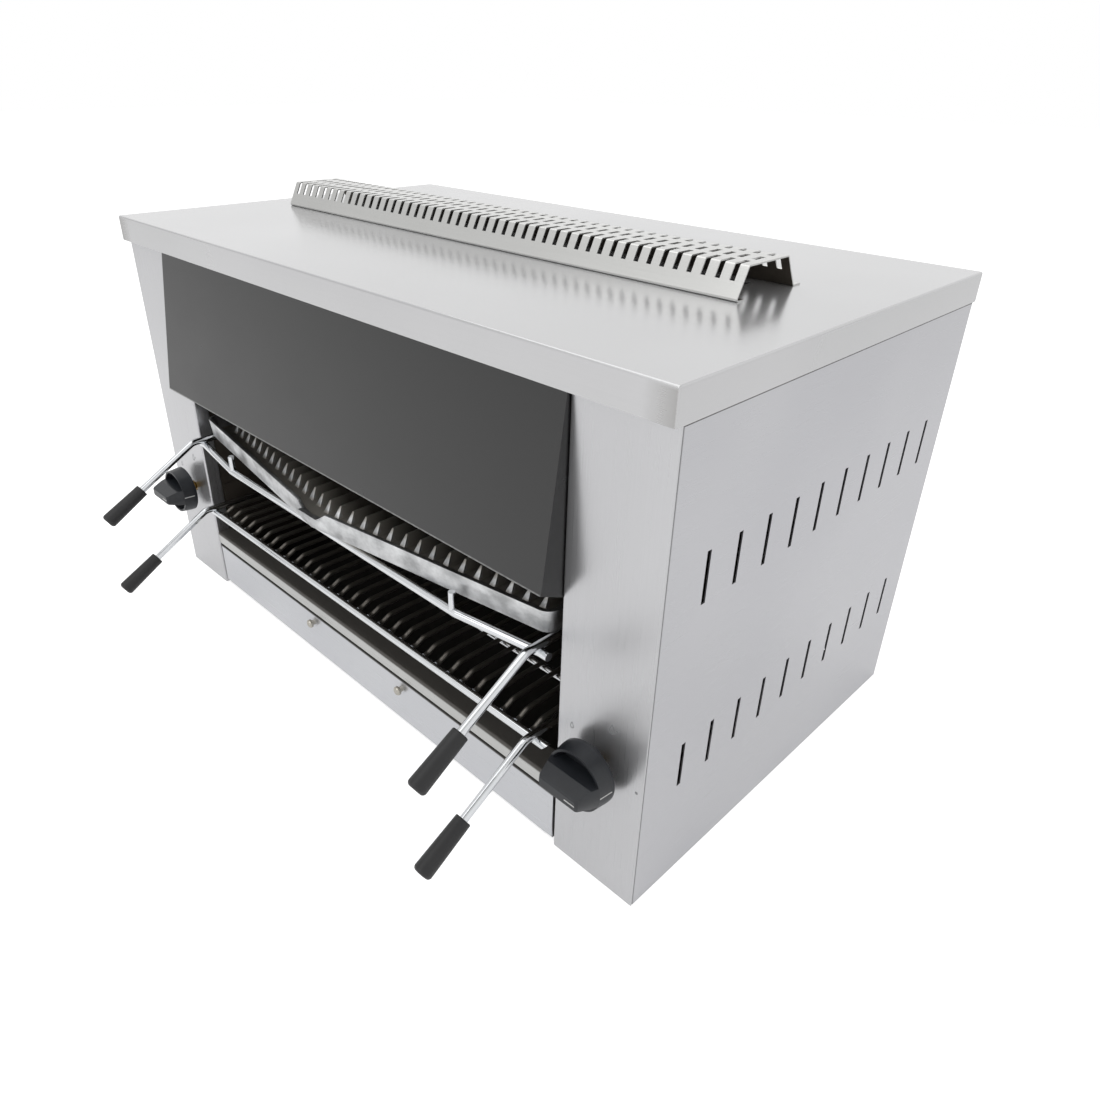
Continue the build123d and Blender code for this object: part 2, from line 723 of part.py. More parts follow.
def heat_shield():
    """Sheet above the burners, its edges folded down against the side panels."""
    x = SIDE - SHEET
    section = folded([(-x, SHIELD_Z - 20), (-x, SHIELD_Z), (x, SHIELD_Z), (x, SHIELD_Z - 20)][::-1], LINER)
    shield = along_y(section, back(RETURN + 6), back(LINER_BACK + 10))
    return shield - throat(LINER + DUCT_PLAY, SHIELD_Z - 5, SHIELD_Z + 5, DUCT_END_PLAY)


def flue_duct():
    """Rectangular duct from below the heat shield to the lid's top; its collar lies on the shield."""
    low = SHIELD_Z - 4
    walls = throat(LINER, low, HEIGHT)
    collar = throat(12, SHIELD_Z, SHIELD_Z + LINER, DUCT_END_PLAY)
    return walls + collar - throat(0, low - 1, HEIGHT + 1)


# ---------------------------------------------------------------- gas line, valves and knobs

def gas_valve():
    """Right-hand tap: turned body, neck that seats behind the column, and three bosses."""
    def station(y0, y1, diameter):
        return bar((VALVE_X, back(y0), VALVE_Z), (VALVE_X, back(y1), VALVE_Z), diameter)
    body = station(SHEET, 20, 20)
    body = body.fuse(station(19, 56, 32), station(55, 70, 14))
    body = body.fuse(bar((VALVE_X, back(45), VALVE_Z), (VALVE_X, back(45), VALVE_Z - 30), 18))
    body = body.fuse(bar((VALVE_X, back(45), VALVE_Z), (VALVE_X, back(45), VALVE_Z + 30), 14))
    return Part() + body - station(0, 50, SPINDLE + 0.1)


def valve_plunger():
    """Right-hand plunger behind the spindle, which the pressed knob pushes in."""
    start = back(50 - PRESS_TRAVEL - 6)
    return bar((VALVE_X, start, VALVE_Z), (VALVE_X, start + 6, VALVE_Z), SPINDLE - 1)


def valve_spindle():
    """Right-hand spindle, with a flat that drives the knob."""
    rear = back(50 - PRESS_TRAVEL - 6)
    tip = FRONT - KNOB_GAP - 24
    spindle = bar((VALVE_X, tip, VALVE_Z), (VALVE_X, rear, VALVE_Z), SPINDLE)
    flat = block(VALVE_X - 6, VALVE_X + 6, tip - 1, tip + 20, VALVE_Z + SPINDLE / 2 - 1.5, VALVE_Z + 6)
    return Part() + spindle - flat


def knob():
    """Right-hand knob: a dished skirt, and a bar grip across it that narrows to the front."""
    skirt = outline(
        (0, 0), (KNOB_RADIUS - 1, 0), (KNOB_RADIUS, 1), (KNOB_RADIUS, 4), (KNOB_RADIUS - 1.4, KNOB_SKIRT),
        (KNOB_RADIUS - 3.6, KNOB_SKIRT), (KNOB_RADIUS - 7, KNOB_DISH), (0, KNOB_DISH),
    )
    body = revolve(Plane.XZ * skirt, Axis.Z)
    limit = outline(
        (0, 1), (KNOB_RADIUS - 1, 1), (KNOB_RADIUS - 1.4, KNOB_SKIRT), (KNOB_FRONT_RADIUS + 1, KNOB_HEIGHT - 2),
        (KNOB_FRONT_RADIUS - 1, KNOB_HEIGHT), (0, KNOB_HEIGHT),
    )
    foot, ridge, front = KNOB_BAR
    section = outline(
        (-foot, 1), (foot, 1), (ridge, KNOB_RIDGE), (front, KNOB_HEIGHT), (-front, KNOB_HEIGHT), (-ridge, KNOB_RIDGE),
    )
    section = fillet(section.vertices().group_by(Axis.Y)[-1] + section.vertices().group_by(Axis.Y)[-2], 1.5)
    grip_bar = along_x(section, -KNOB_RADIUS, KNOB_RADIUS) & revolve(Plane.XZ * limit, Axis.Z)
    body += grip_bar
    bore = Solid.make_cylinder(SPINDLE / 2, 24)
    key = block(-5, 5, SPINDLE / 2 - 1.5, 6, 4, 25)
    cavity = Solid.make_cylinder(KNOB_RADIUS - 4, 3) - Solid.make_cylinder(9, 3)
    body = body - (Part() + bore - key) - cavity
    return Pos(VALVE_X, FRONT - KNOB_GAP, VALVE_Z) * Rot(X=90) * body


def gas_manifold():
    """Pipe from the inlet's tee across the back and forward to both valves."""
    low = VALVE_Z - 30
    points = [
        (VALVE_X, back(45), low), (VALVE_X, back(45), PIPE_Z), (VALVE_X, back(PIPE_BACK), PIPE_Z),
        (-VALVE_X, back(PIPE_BACK), PIPE_Z), (-VALVE_X, back(45), PIPE_Z), (-VALVE_X, back(45), low),
    ]
    pipe = bent_bar(points, PIPE, 14)
    y = back(PIPE_BACK)
    tee = block(INLET_X - 16, INLET_X + 16, y - 12, y + 12, PIPE_Z - 14, PIPE_Z + 14)
    return pipe + tee


def gas_inlet():
    """Threaded nipple through the rear panel with its lock nut."""
    y = back(PIPE_BACK) + 12
    nipple = bar((INLET_X, y, PIPE_Z), (INLET_X, BACK + INLET_OUT, PIPE_Z), INLET)
    face = BACK - SHEET
    nut = extrude(
        Plane(origin=(INLET_X, face, PIPE_Z), x_dir=(1, 0, 0), z_dir=(0, 1, 0)) * RegularPolygon(17, 6),
        amount=6,
    )
    bore = bar((INLET_X, y + 3, PIPE_Z), (INLET_X, BACK + 30, PIPE_Z), 15)
    return nut + nipple - bore


def injector():
    """Right-hand brass injector, held in front of the mixing tube's mouth."""
    x0 = BURNER_INNER + BURNER_WIDTH + 40
    y = back(BURNER_FRONT + BURNER_LENGTH / 2)
    z = venturi_z()
    nose = bar((x0, y, z), (x0 + 8, y, z), 8)
    hexagon = extrude(
        Plane(origin=(x0 + 8, y, z), x_dir=(0, 1, 0), z_dir=(1, 0, 0)) * RegularPolygon(8, 6), amount=10,
    )
    return hexagon + nose - bar((x0 - 1, y, z), (x0 + 6, y, z), 1.5)


def feed_pipe():
    """Right-hand pipe from the valve's upper boss to the injector."""
    x1 = BURNER_INNER + BURNER_WIDTH + 58
    y = back(BURNER_FRONT + BURNER_LENGTH / 2)
    points = [
        (VALVE_X, back(45), VALVE_Z + 30), (VALVE_X, back(45), venturi_z() - 40),
        (VALVE_X + 24, back(45), venturi_z()), (VALVE_X + 24, y, venturi_z()), (x1, y, venturi_z()),
    ]
    return bent_bar(points, FEED, 10)


def thermocouple():
    """Right-hand capillary from the valve's rear boss to the edge of the burner."""
    y1 = back(BURNER_FRONT - 12)
    run_z = CEILING + 11
    points = [
        (VALVE_X, back(70), VALVE_Z), (VALVE_X, back(96), VALVE_Z), (VALVE_X + 30, back(96), VALVE_Z + 60),
        (VALVE_X + 30, back(96), run_z), (VALVE_X - 50, y1, run_z),
        (VALVE_X - 66, y1, run_z), (VALVE_X - 66, y1, CEILING + SHEET),
    ]
    return bent_bar(points, CAPILLARY, 6)


def fasteners(places):
    return [screw(place, way) for place, way in places]


# ---------------------------------------------------------------- assembly

parts["lid"] = lid()
parts["flue_guard"] = flue_guard()
both_sides("side_panel", side_panel())
both_sides("front_column", front_column())
parts["rear_panel"] = rear_panel()
parts["base_panel"] = base_panel()
parts["front_crossbar"] = front_crossbar()
parts["front_header"] = front_header()
parts["heat_deflector"] = heat_deflector()
parts["deflector_screws"] = fasteners(cheek_screws())
parts["rear_panel_screws"] = fasteners([(place, REAR_WAY) for place in REAR_SCREWS])
both_sides("cavity_liner", side_liner())
parts["rear_liner"] = rear_liner()
both_sides("upper_runner", rack_runner(UPPER_ROD_Z))
both_sides("lower_runner", rack_runner(LOWER_ROD_Z))
both_sides("tray_runner", tray_runner())
parts["upper_rack"] = upper_rack()
parts["lower_rack"] = lower_rack()
both_sides("upper_side_rod", side_rod(UPPER_ROD_Z))
both_sides("lower_side_rod", side_rod(LOWER_ROD_Z))
both_sides("upper_grip", grip(UPPER_ROD_Z))
both_sides("lower_grip", grip(LOWER_ROD_Z))
parts["brander_pan"] = brander_pan()
parts["crumb_tray"] = crumb_tray()
parts["tray_pulls"] = tray_pulls()
parts["burner_frame"] = burner_frame()
both_sides("burner_housing", burner_housing())
both_sides("burner_tiles", Compound(burner_tiles()))
both_sides("radiant_screen", radiant_screen())
parts["mixing_tubes"] = pair(mixing_tube())
parts["injectors"] = pair(injector())
parts["feed_pipes"] = pair(feed_pipe())
parts["thermocouples"] = pair(thermocouple())
parts["heat_shield"] = heat_shield()
parts["flue_duct"] = flue_duct()
both_sides("gas_valve", gas_valve())
both_sides("valve_plunger", valve_plunger())
both_sides("valve_spindle", valve_spindle())
parts["right_knob"] = knob()
parts["left_knob"] = Pos(-2 * VALVE_X, 0, 0) * knob()
parts["gas_manifold"] = gas_manifold()
parts["gas_inlet"] = gas_inlet()

os.makedirs("parts", exist_ok=True)
for name, shape in parts.items():
    if isinstance(shape, list):
        shape = Compound(shape)
    export_step(shape, os.path.join("parts", name + ".step"))
print(len(parts), "pieces written")
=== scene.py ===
import math

import bmesh
import bpy
from mathutils import Matrix, Vector


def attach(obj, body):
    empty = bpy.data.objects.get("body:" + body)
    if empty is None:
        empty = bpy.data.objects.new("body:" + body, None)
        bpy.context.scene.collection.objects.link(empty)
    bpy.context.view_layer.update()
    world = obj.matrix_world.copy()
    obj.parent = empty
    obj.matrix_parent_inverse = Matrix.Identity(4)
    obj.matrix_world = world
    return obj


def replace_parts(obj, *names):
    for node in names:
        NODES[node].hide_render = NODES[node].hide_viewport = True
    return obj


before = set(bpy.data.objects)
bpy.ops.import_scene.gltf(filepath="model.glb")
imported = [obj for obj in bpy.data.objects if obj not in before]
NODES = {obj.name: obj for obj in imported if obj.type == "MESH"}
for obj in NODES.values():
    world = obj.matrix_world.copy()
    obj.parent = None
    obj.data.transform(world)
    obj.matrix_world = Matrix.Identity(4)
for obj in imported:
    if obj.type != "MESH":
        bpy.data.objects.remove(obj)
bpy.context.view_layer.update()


# ---- Casing sheets ---------------------------------------------------------------------------
# Stainless sheet with a satin grain along the length of each panel, folded on a press brake.
# The side and rear panels, the two broad front columns and the base close the box.

COLUMN_FACE = -0.2275
BAND_FOOT = 0.4365          # lower edge of the lid's band
CROSSBAR = (0.0600, 0.0770)         # lower and upper edge of its front


def colour(text):
    """An sRGB hex colour turned linear."""
    channels = [int(text[i:i + 2], 16) / 255 for i in (1, 3, 5)]
    return [c / 12.92 if c <= 0.04045 else ((c + 0.055) / 1.055) ** 2.4 for c in channels] + [1.0]


def add(tree, kind, inputs=(), **settings):
    """Adds a node with its settings. An input takes a value, or is linked to a socket, or to the
    first live output of a node."""
    node = tree.nodes.new(kind)
    for name, value in settings.items():
        setattr(node, name, value)
    for key, value in dict(inputs).items():
        if isinstance(value, bpy.types.Node):
            value = next(socket for socket in value.outputs if socket.enabled)
        if isinstance(value, bpy.types.NodeSocket):
            tree.links.new(value, node.inputs[key])
        else:
            node.inputs[key].default_value = value
    return node


def blank(name):
    """A material with an empty tree, and the object coordinates that its patterns are drawn on."""
    material = bpy.data.materials.new(name)
    material.use_nodes = True
    tree = material.node_tree
    tree.nodes.clear()
    return material, tree, add(tree, "ShaderNodeTexCoord").outputs["Object"]


def surfaced(material, inputs):
    """Closes a material's tree with its shader."""
    tree = material.node_tree
    add(tree, "ShaderNodeOutputMaterial", {"Surface": add(tree, "ShaderNodeBsdfPrincipled", inputs)})
    return material


def flecks(tree, place, size, detail=3.0):
    """Stretched noise: size is how long a fleck is along X, Y and Z, in metres."""
    stretch = add(tree, "ShaderNodeMapping", {"Vector": place, "Scale": [1 / s for s in size]})
    return add(tree, "ShaderNodeTexNoise", {"Vector": stretch, "Scale": 1.0, "Detail": detail,
                                            "Roughness": 0.55})


def satin_stainless(name, along, dark="#c4c4c6", light="#cdcdcf", roughness=(0.27, 0.33),
                    film=None, film_colour="#3d3b38", metallic=0.85):
    """Satin-ground 18/8 stainless: a soft bright sheen, drawn out by a fine straight grain.

    The grain is 0.1 mm wide on the real sheet and is drawn 0.4 mm wide so that it shows close up.
    Its wide scatter is the small part that isn't metallic, which lifts the darkest reflections.
    A film, where the sheet has one, darkens it and takes its shine: baked dirt and straw heat tint on some
    sheets, painted shade on others."""
    material, tree, place = blank(name)
    size = [0.0004, 0.0004, 0.0004]
    size["XYZ".index(along)] = 0.09
    lines = flecks(tree, place, size, detail=2.0)
    clouds = flecks(tree, place, (0.25, 0.25, 0.25), detail=2.0)
    mixed = add(tree, "ShaderNodeMix", {0: 0.3, 2: clouds, 3: lines}, data_type="FLOAT")
    tone = add(tree, "ShaderNodeMapRange", {0: mixed, 1: 0.35, 2: 0.65})
    base = add(tree, "ShaderNodeMix", {0: tone, 6: colour(dark), 7: colour(light)}, data_type="RGBA")
    rough = add(tree, "ShaderNodeMapRange", {0: lines, 1: 0.3, 2: 0.7, 3: roughness[0], 4: roughness[1]})
    bump = add(tree, "ShaderNodeBump", {"Height": lines, "Strength": 0.1, "Distance": 0.000006})
    inputs = {"Base Color": base, "Metallic": metallic, "Roughness": rough, "Normal": bump}
    if film:
        amount = film(tree, add(tree, "ShaderNodeSeparateXYZ", {0: place}).outputs)
        filmed = add(tree, "ShaderNodeMix", {0: amount, 6: base, 7: colour(film_colour)}, data_type="RGBA")
        dulled = add(tree, "ShaderNodeMix", {0: amount, 2: rough, 3: 0.6}, data_type="FLOAT")
        metal = add(tree, "ShaderNodeMapRange", {0: amount, 1: 0.0, 2: 1.0, 3: metallic, 4: 0.35})
        inputs.update({"Base Color": filmed, "Roughness": dulled, "Metallic": metal})
    return surfaced(material, inputs)


def side_seam_shade(tree, axes):
    """Painted shade in the joint with the column's sheet, and a painted shadow in the gap under the lid's
    band.
    """
    corner = add(tree, "ShaderNodeMapRange", {0: axes["Y"], 1: COLUMN_FACE + 0.0030, 2: COLUMN_FACE + 0.0024})
    under_lid = add(tree, "ShaderNodeMapRange", {0: axes["Z"], 1: BAND_FOOT - 0.0018, 2: BAND_FOOT - 0.0012})
    faint = add(tree, "ShaderNodeMath", {0: corner, 1: 0.55}, operation="MULTIPLY")
    return add(tree, "ShaderNodeMath", {0: faint, 1: under_lid}, operation="MAXIMUM")


def crossbar_shade(tree, axes):
    """Painted shade along the top of the front and on the flange behind its upper fold, and a painted shadow
    in the joint with the tray.
    """
    foot, top = CROSSBAR
    flange = add(tree, "ShaderNodeMapRange", {0: axes["Z"], 1: top - 0.0045, 2: top - 0.0025})
    joint = add(tree, "ShaderNodeMapRange", {0: axes["Z"], 1: foot + 0.0014, 2: foot + 0.0007})
    return add(tree, "ShaderNodeMath", {0: flange, 1: joint}, operation="MAXIMUM")


def dress(material, *names):
    """Gives CAD nodes a finish of this scene."""
    for name in names:
        slots = NODES[name].data.materials
        if not slots:
            slots.append(material)
        for i in range(len(slots)):
            slots[i] = material


def both(name):
    """The names of a left and right pair."""
    return "left_" + name, "right_" + name


# All the casing's stainless is one stock, but each part gets its own pair of tones, set to how bright it
# looks: the sides and crossbar a shade darker, the lid, guard and tray paler. That difference is painted
# light and shade.
dress(satin_stainless("satin_stainless_sides", "Y", "#bebec2", "#c6c6c9", film=side_seam_shade),
      *both("side_panel"))
dress(satin_stainless("satin_stainless_columns", "Z"), *both("front_column"))
dress(satin_stainless("satin_stainless_crossbar", "X", "#c0c0be", "#c9c9c7", film=crossbar_shade,
                      film_colour="#5c5955"), "front_crossbar")
dress(satin_stainless("satin_stainless_panels", "X"), "rear_panel", "base_panel", "front_header")


# ---- Printed marks on the columns --------------------------------------------------------------
# Two dots and two flames round each knob, screen-printed in grey ink and stoved.
# The film of ink is 0.05 mm thick here, so that it stands clear of the steel.

KNOB_X = 0.3525
KNOB_Z = 0.130
INK = 0.00005
# Measured across and up from the knob's axis; then a flame's width and height, and a dot's radius.
FLAMES = ((0.0130, 0.0450, 0.0075, 0.0095), (-0.0280, 0.0230, 0.0055, 0.0068))
DOTS = ((0.0415, -0.0020, 0.0014), (0.0182, 0.0456, 0.0009))
BARE_SHARE = 0.66           # size of a flame's bare inside, of the whole


def mesh_piece(name, bm, body, slot, *materials, angle=35):
    """Turns a bmesh into a finished piece that rides on its body, its normals outward."""
    bmesh.ops.recalc_face_normals(bm, faces=bm.faces)
    mesh = bpy.data.meshes.new(name)
    bm.to_mesh(mesh)
    bm.free()
    for material in materials:
        mesh.materials.append(material)
    piece = bpy.data.objects.new(name, mesh)
    bpy.context.scene.collection.objects.link(piece)
    mesh.shade_smooth()
    mesh.set_sharp_from_angle(angle=math.radians(angle))
    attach(piece, body)
    return piece


def joined(bm, rows, closed=False):
    """Faces between rows of vertices, each a loop; closed also joins the last row to the first."""
    followers = rows[1:] + rows[:1] if closed else rows[1:]
    for row, following in zip(rows, followers):
        for i in range(len(row)):
            j = (i + 1) % len(row)
            bm.faces.new((row[i], row[j], following[j], following[i]))


def flame_outline(x, z, width, height, count=28):
    """Points of a leaning drop: round below, with its tip above."""
    points = []
    for i in range(count):
        a = math.tau * i / count
        across = math.sin(a) * math.sin(a / 2) ** 2 + 0.10 * math.sin(2 * a)
        points.append((x + width * 0.65 * across, z + height / 2 * math.cos(a)))
    return points


def printed_ink(name, dark, light):
    """Stoved screen ink: flat and matt, a little uneven where the mesh let less through."""
    material, tree, place = blank(name)
    weave = flecks(tree, place, (0.0004, 0.0004, 0.0004), detail=1.0)
    base = add(tree, "ShaderNodeMix", {0: weave, 6: colour(dark), 7: colour(light)}, data_type="RGBA")
    rough = add(tree, "ShaderNodeMapRange", {0: weave, 1: 0.3, 2: 0.7, 3: 0.52, 4: 0.66})
    return surfaced(material, {"Base Color": base, "Roughness": rough})


grey_ink = printed_ink("grey_screen_ink", "#8b8c8e", "#9a9b9d")
for side, centre in (("left", -KNOB_X), ("right", KNOB_X)):
    bm = bmesh.new()
    inked = COLUMN_FACE - INK
    for dx, dz, width, height in FLAMES:
        outer = flame_outline(centre + dx, KNOB_Z + dz, width, height)
        inner = flame_outline(centre + dx, KNOB_Z + dz - height * 0.04, width * BARE_SHARE,
                              height * BARE_SHARE)
        rows = []
        for outline, y in ((outer, inked), (outer, COLUMN_FACE), (inner, COLUMN_FACE), (inner, inked)):
            rows.append([bm.verts.new((x, y, z)) for x, z in outline])
        joined(bm, rows, True)
    for dx, dz, radius in DOTS:
        rows = []
        for y in (inked, COLUMN_FACE):
            rim = [(radius * math.cos(math.tau * i / 16), radius * math.sin(math.tau * i / 16))
                   for i in range(16)]
            rows.append([bm.verts.new((centre + dx + x, y, KNOB_Z + dz + z)) for x, z in rim])
        joined(bm, rows)
        bm.faces.new(rows[0])
        bm.faces.new(rows[1])
    mesh_piece(side + "_column_marks", bm, "casing", "black_plastic", grey_ink)


# ---- Cavity ----------------------------------------------------------------------------------
# Thin steel liners round the grilling space, with folded ledges for the racks and the tray.
# They are spot-welded, and darkened by heat and smoke after the first firing.

def heat_darkened(name, dark="#2b2621", light="#4a433b"):
    """Steel blackened by heat and baked fat: dark warm brown, dull, with a browner bloom."""
    material, tree, place = blank(name)
    bloom = flecks(tree, place, (0.05, 0.05, 0.03), detail=6.0)
    grit = flecks(tree, place, (0.0012, 0.0012, 0.0012))
    base = add(tree, "ShaderNodeMix", {0: bloom, 6: colour(dark), 7: colour(light)}, data_type="RGBA")
    rough = add(tree, "ShaderNodeMapRange", {0: bloom, 1: 0.3, 2: 0.7, 3: 0.55, 4: 0.75})
    bump = add(tree, "ShaderNodeBump", {"Height": grit, "Strength": 0.4, "Distance": 0.00008})
    return surfaced(material, {"Base Color": base, "Metallic": 0.3, "Roughness": rough, "Normal": bump})


liner_steel = heat_darkened("heat_darkened_liner_steel")
dress(liner_steel, *both("cavity_liner"), "rear_liner", *both("upper_runner"), *both("lower_runner"),
      *both("tray_runner"), "burner_frame")


# ---- Burners and flue ------------------------------------------------------------------------
# Perforated ceramic tiles over a woven wire screen, fed from a pressed steel housing above them.
# The gases leave by a sheet duct through the heat shield and the lid.

SCREEN_X = 0.150
SCREEN_Y = -0.0275
SCREEN_Z = 0.3265
SCREEN_SIZE = (0.276, 0.264)
SCREEN_RIM = (0.3221, 0.3309)       # lower and upper edge of the strip round the screen
SCREEN_STRIP = 0.0015
SCREEN_WIRES = 33
PORT_PITCH = 0.0024


def fired_ceramic(name):
    """Porous burner ceramic: chalky cream, with rows of 1.2 mm flame ports every 2.4 mm.

    The ports are not cut: each is a dark brown spot with a shallow dip, which paints the shade inside a hole.
    """
    material, tree, place = blank(name)
    cells = add(tree, "ShaderNodeVectorMath", {0: place, 1: (PORT_PITCH, PORT_PITCH, 1.0)},
                operation="MODULO")
    folded = add(tree, "ShaderNodeVectorMath", {0: cells}, operation="ABSOLUTE")
    centred = add(tree, "ShaderNodeVectorMath", {0: folded, 1: (PORT_PITCH / 2, PORT_PITCH / 2, 0.0)},
                  operation="SUBTRACT")
    flat = add(tree, "ShaderNodeVectorMath", {0: centred, 1: (1.0, 1.0, 0.0)}, operation="MULTIPLY")
    distance = add(tree, "ShaderNodeVectorMath", {0: flat}, operation="LENGTH")
    body = add(tree, "ShaderNodeMapRange", {0: distance, 1: 0.0005, 2: 0.0008})
    chalk = flecks(tree, place, (0.004, 0.004, 0.004), detail=5.0)
    cream = add(tree, "ShaderNodeMix", {0: chalk, 6: colour("#cfc5b2"), 7: colour("#e2dac9")},
                data_type="RGBA")
    # Painted shade in the flame ports.
    base = add(tree, "ShaderNodeMix", {0: body, 6: colour("#3a322a"), 7: cream}, data_type="RGBA")
    rough = add(tree, "ShaderNodeMapRange", {0: chalk, 1: 0.3, 2: 0.7, 3: 0.8, 4: 0.92})
    bump = add(tree, "ShaderNodeBump", {"Height": body, "Strength": 0.6, "Distance": 0.0004})
    return surfaced(material, {"Base Color": base, "Roughness": rough, "Normal": bump})


def mottled_metal(name, dark, light, metallic, roughness, size, depth):
    """Metal with an uneven skin, such as oxide scale or mill finish: soft patches of two tones."""
    material, tree, place = blank(name)
    mottle = flecks(tree, place, (size, size, size), detail=4.0)
    base = add(tree, "ShaderNodeMix", {0: mottle, 6: colour(dark), 7: colour(light)}, data_type="RGBA")
    rough = add(tree, "ShaderNodeMapRange", {0: mottle, 1: 0.3, 2: 0.7, 3: roughness[0], 4: roughness[1]})
    bump = add(tree, "ShaderNodeBump", {"Height": mottle, "Strength": 0.3, "Distance": depth})
    return surfaced(material, {"Base Color": base, "Metallic": metallic, "Roughness": rough, "Normal": bump})


def grow(name, body, slot, material, seeds, build, **sizes):
    """Runs a Geometry Nodes tree over seed points and keeps what it makes as a plain mesh.

    Each seed is a place and the way that a copy's own Z points there. The sizes become the tree's
    named inputs."""
    tree = bpy.data.node_groups.new(name, "GeometryNodeTree")
    tree.interface.new_socket("Geometry", in_out="INPUT", socket_type="NodeSocketGeometry")
    tree.interface.new_socket("Geometry", in_out="OUTPUT", socket_type="NodeSocketGeometry")
    for key, value in sizes.items():
        kind = "NodeSocketInt" if isinstance(value, int) else "NodeSocketFloat"
        tree.interface.new_socket(key.replace("_", " "), in_out="INPUT", socket_type=kind)
    made = build(tree, add(tree, "NodeGroupInput").outputs)
    made = add(tree, "GeometryNodeRealizeInstances", {"Geometry": made})
    made = add(tree, "GeometryNodeSetMaterial", {"Geometry": made, "Material": material})
    add(tree, "NodeGroupOutput", {"Geometry": made})
    mesh = bpy.data.meshes.new(name + "_seeds")
    mesh.from_pydata([place for place, way in seeds], [], [])
    ways = mesh.attributes.new("way", "FLOAT_VECTOR", "POINT")
    for i, (place, way) in enumerate(seeds):
        ways.data[i].vector = way
    piece = bpy.data.objects.new(name, mesh)
    bpy.context.scene.collection.objects.link(piece)
    modifier = piece.modifiers.new(name, "NODES")
    modifier.node_group = tree
    for item in tree.interface.items_tree:
        key = item.name.replace(" ", "_")
        if item.in_out == "INPUT" and key in sizes:
            modifier[item.identifier] = sizes[key]
    graph = bpy.context.evaluated_depsgraph_get()
    grown = bpy.data.meshes.new_from_object(piece.evaluated_get(graph), depsgraph=graph)
    piece.modifiers.clear()
    piece.data = grown
    grown.shade_smooth()
    grown.set_sharp_from_angle(angle=math.radians(35))
    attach(piece, body)
    return piece


def crimped_wires(tree, given, length, pitch, spacing, axis, sign):
    """One set of crimped wires: each rises and falls once in two pitches, turn about with the next."""
    half = add(tree, "ShaderNodeMath", {0: given[length], 1: 0.5}, operation="MULTIPLY")
    end = add(tree, "ShaderNodeCombineXYZ", {axis: half})
    start = add(tree, "ShaderNodeVectorMath", {0: end, "Scale": -1.0}, operation="SCALE")
    wire = add(tree, "GeometryNodeCurvePrimitiveLine", {"Start": start, "End": end})
    count = add(tree, "ShaderNodeMath", {0: given["Wires"], 1: 2.0, 2: 3.0}, operation="MULTIPLY_ADD")
    wire = add(tree, "GeometryNodeResampleCurve", {"Curve": wire, "Count": count})
    spot = add(tree, "GeometryNodeInputPosition")
    along = add(tree, "ShaderNodeSeparateXYZ", {0: spot}).outputs[axis]
    phase = add(tree, "ShaderNodeMath", {0: along, 1: given[pitch]}, operation="DIVIDE")
    turns = add(tree, "ShaderNodeMath", {0: phase, 1: math.pi}, operation="MULTIPLY")
    wave = add(tree, "ShaderNodeMath", {0: turns}, operation="COSINE")
    rise = add(tree, "ShaderNodeMath", {0: wave, 1: given["Wire Radius"]}, operation="MULTIPLY")
    height = add(tree, "ShaderNodeMath", {0: rise, 1: sign}, operation="MULTIPLY")
    lift = add(tree, "ShaderNodeCombineXYZ", {"Z": height})
    wire = add(tree, "GeometryNodeSetPosition", {"Geometry": wire, "Offset": lift})
    section = add(tree, "GeometryNodeCurvePrimitiveCircle", {"Resolution": 5, "Radius": given["Wire Radius"]})
    wire = add(tree, "GeometryNodeCurveToMesh", {"Curve": wire, "Profile Curve": section})
    across = 1 - axis
    middle = add(tree, "ShaderNodeMath", {0: given["Wires"], 1: -0.5, 2: 0.5}, operation="MULTIPLY_ADD")
    offset = add(tree, "ShaderNodeMath", {0: middle, 1: given[spacing]}, operation="MULTIPLY")
    first = add(tree, "ShaderNodeCombineXYZ", {across: offset})
    step = add(tree, "ShaderNodeCombineXYZ", {across: given[spacing]})
    row = add(tree, "GeometryNodeMeshLine", {"Count": given["Wires"], "Start Location": first,
                                             "Offset": step})
    half_turns = add(tree, "ShaderNodeMath", {0: add(tree, "GeometryNodeInputIndex"), 1: math.pi},
                     operation="MULTIPLY")
    turn = add(tree, "ShaderNodeCombineXYZ", {axis: half_turns})
    return add(tree, "GeometryNodeInstanceOnPoints", {"Points": row, "Instance": wire, "Rotation": turn})


def woven_screen(tree, given):
    """Wires along X and along Y, woven over and under each other, set down at each seed."""
    weave = add(tree, "GeometryNodeJoinGeometry")
    for wires in (crimped_wires(tree, given, "Width", "Pitch X", "Pitch Y", 0, 1.0),
                  crimped_wires(tree, given, "Depth", "Pitch Y", "Pitch X", 1, -1.0)):
        tree.links.new(wires.outputs[0], weave.inputs[0])
    return add(tree, "GeometryNodeInstanceOnPoints", {"Points": given["Geometry"], "Instance": weave})


def rounded_rectangle(width, depth, radius, steps=5):
    """Points round a rectangle about the origin, its corners rounded in a few steps."""
    points = []
    for cx, cy, turn in ((1, 1, 0), (-1, 1, 1), (-1, -1, 2), (1, -1, 3)):
        for i in range(steps + 1):
            a = math.pi / 2 * (turn + i / steps)
            points.append((cx * (width / 2 - radius) + radius * math.cos(a),
                           cy * (depth / 2 - radius) + radius * math.sin(a)))
    return points


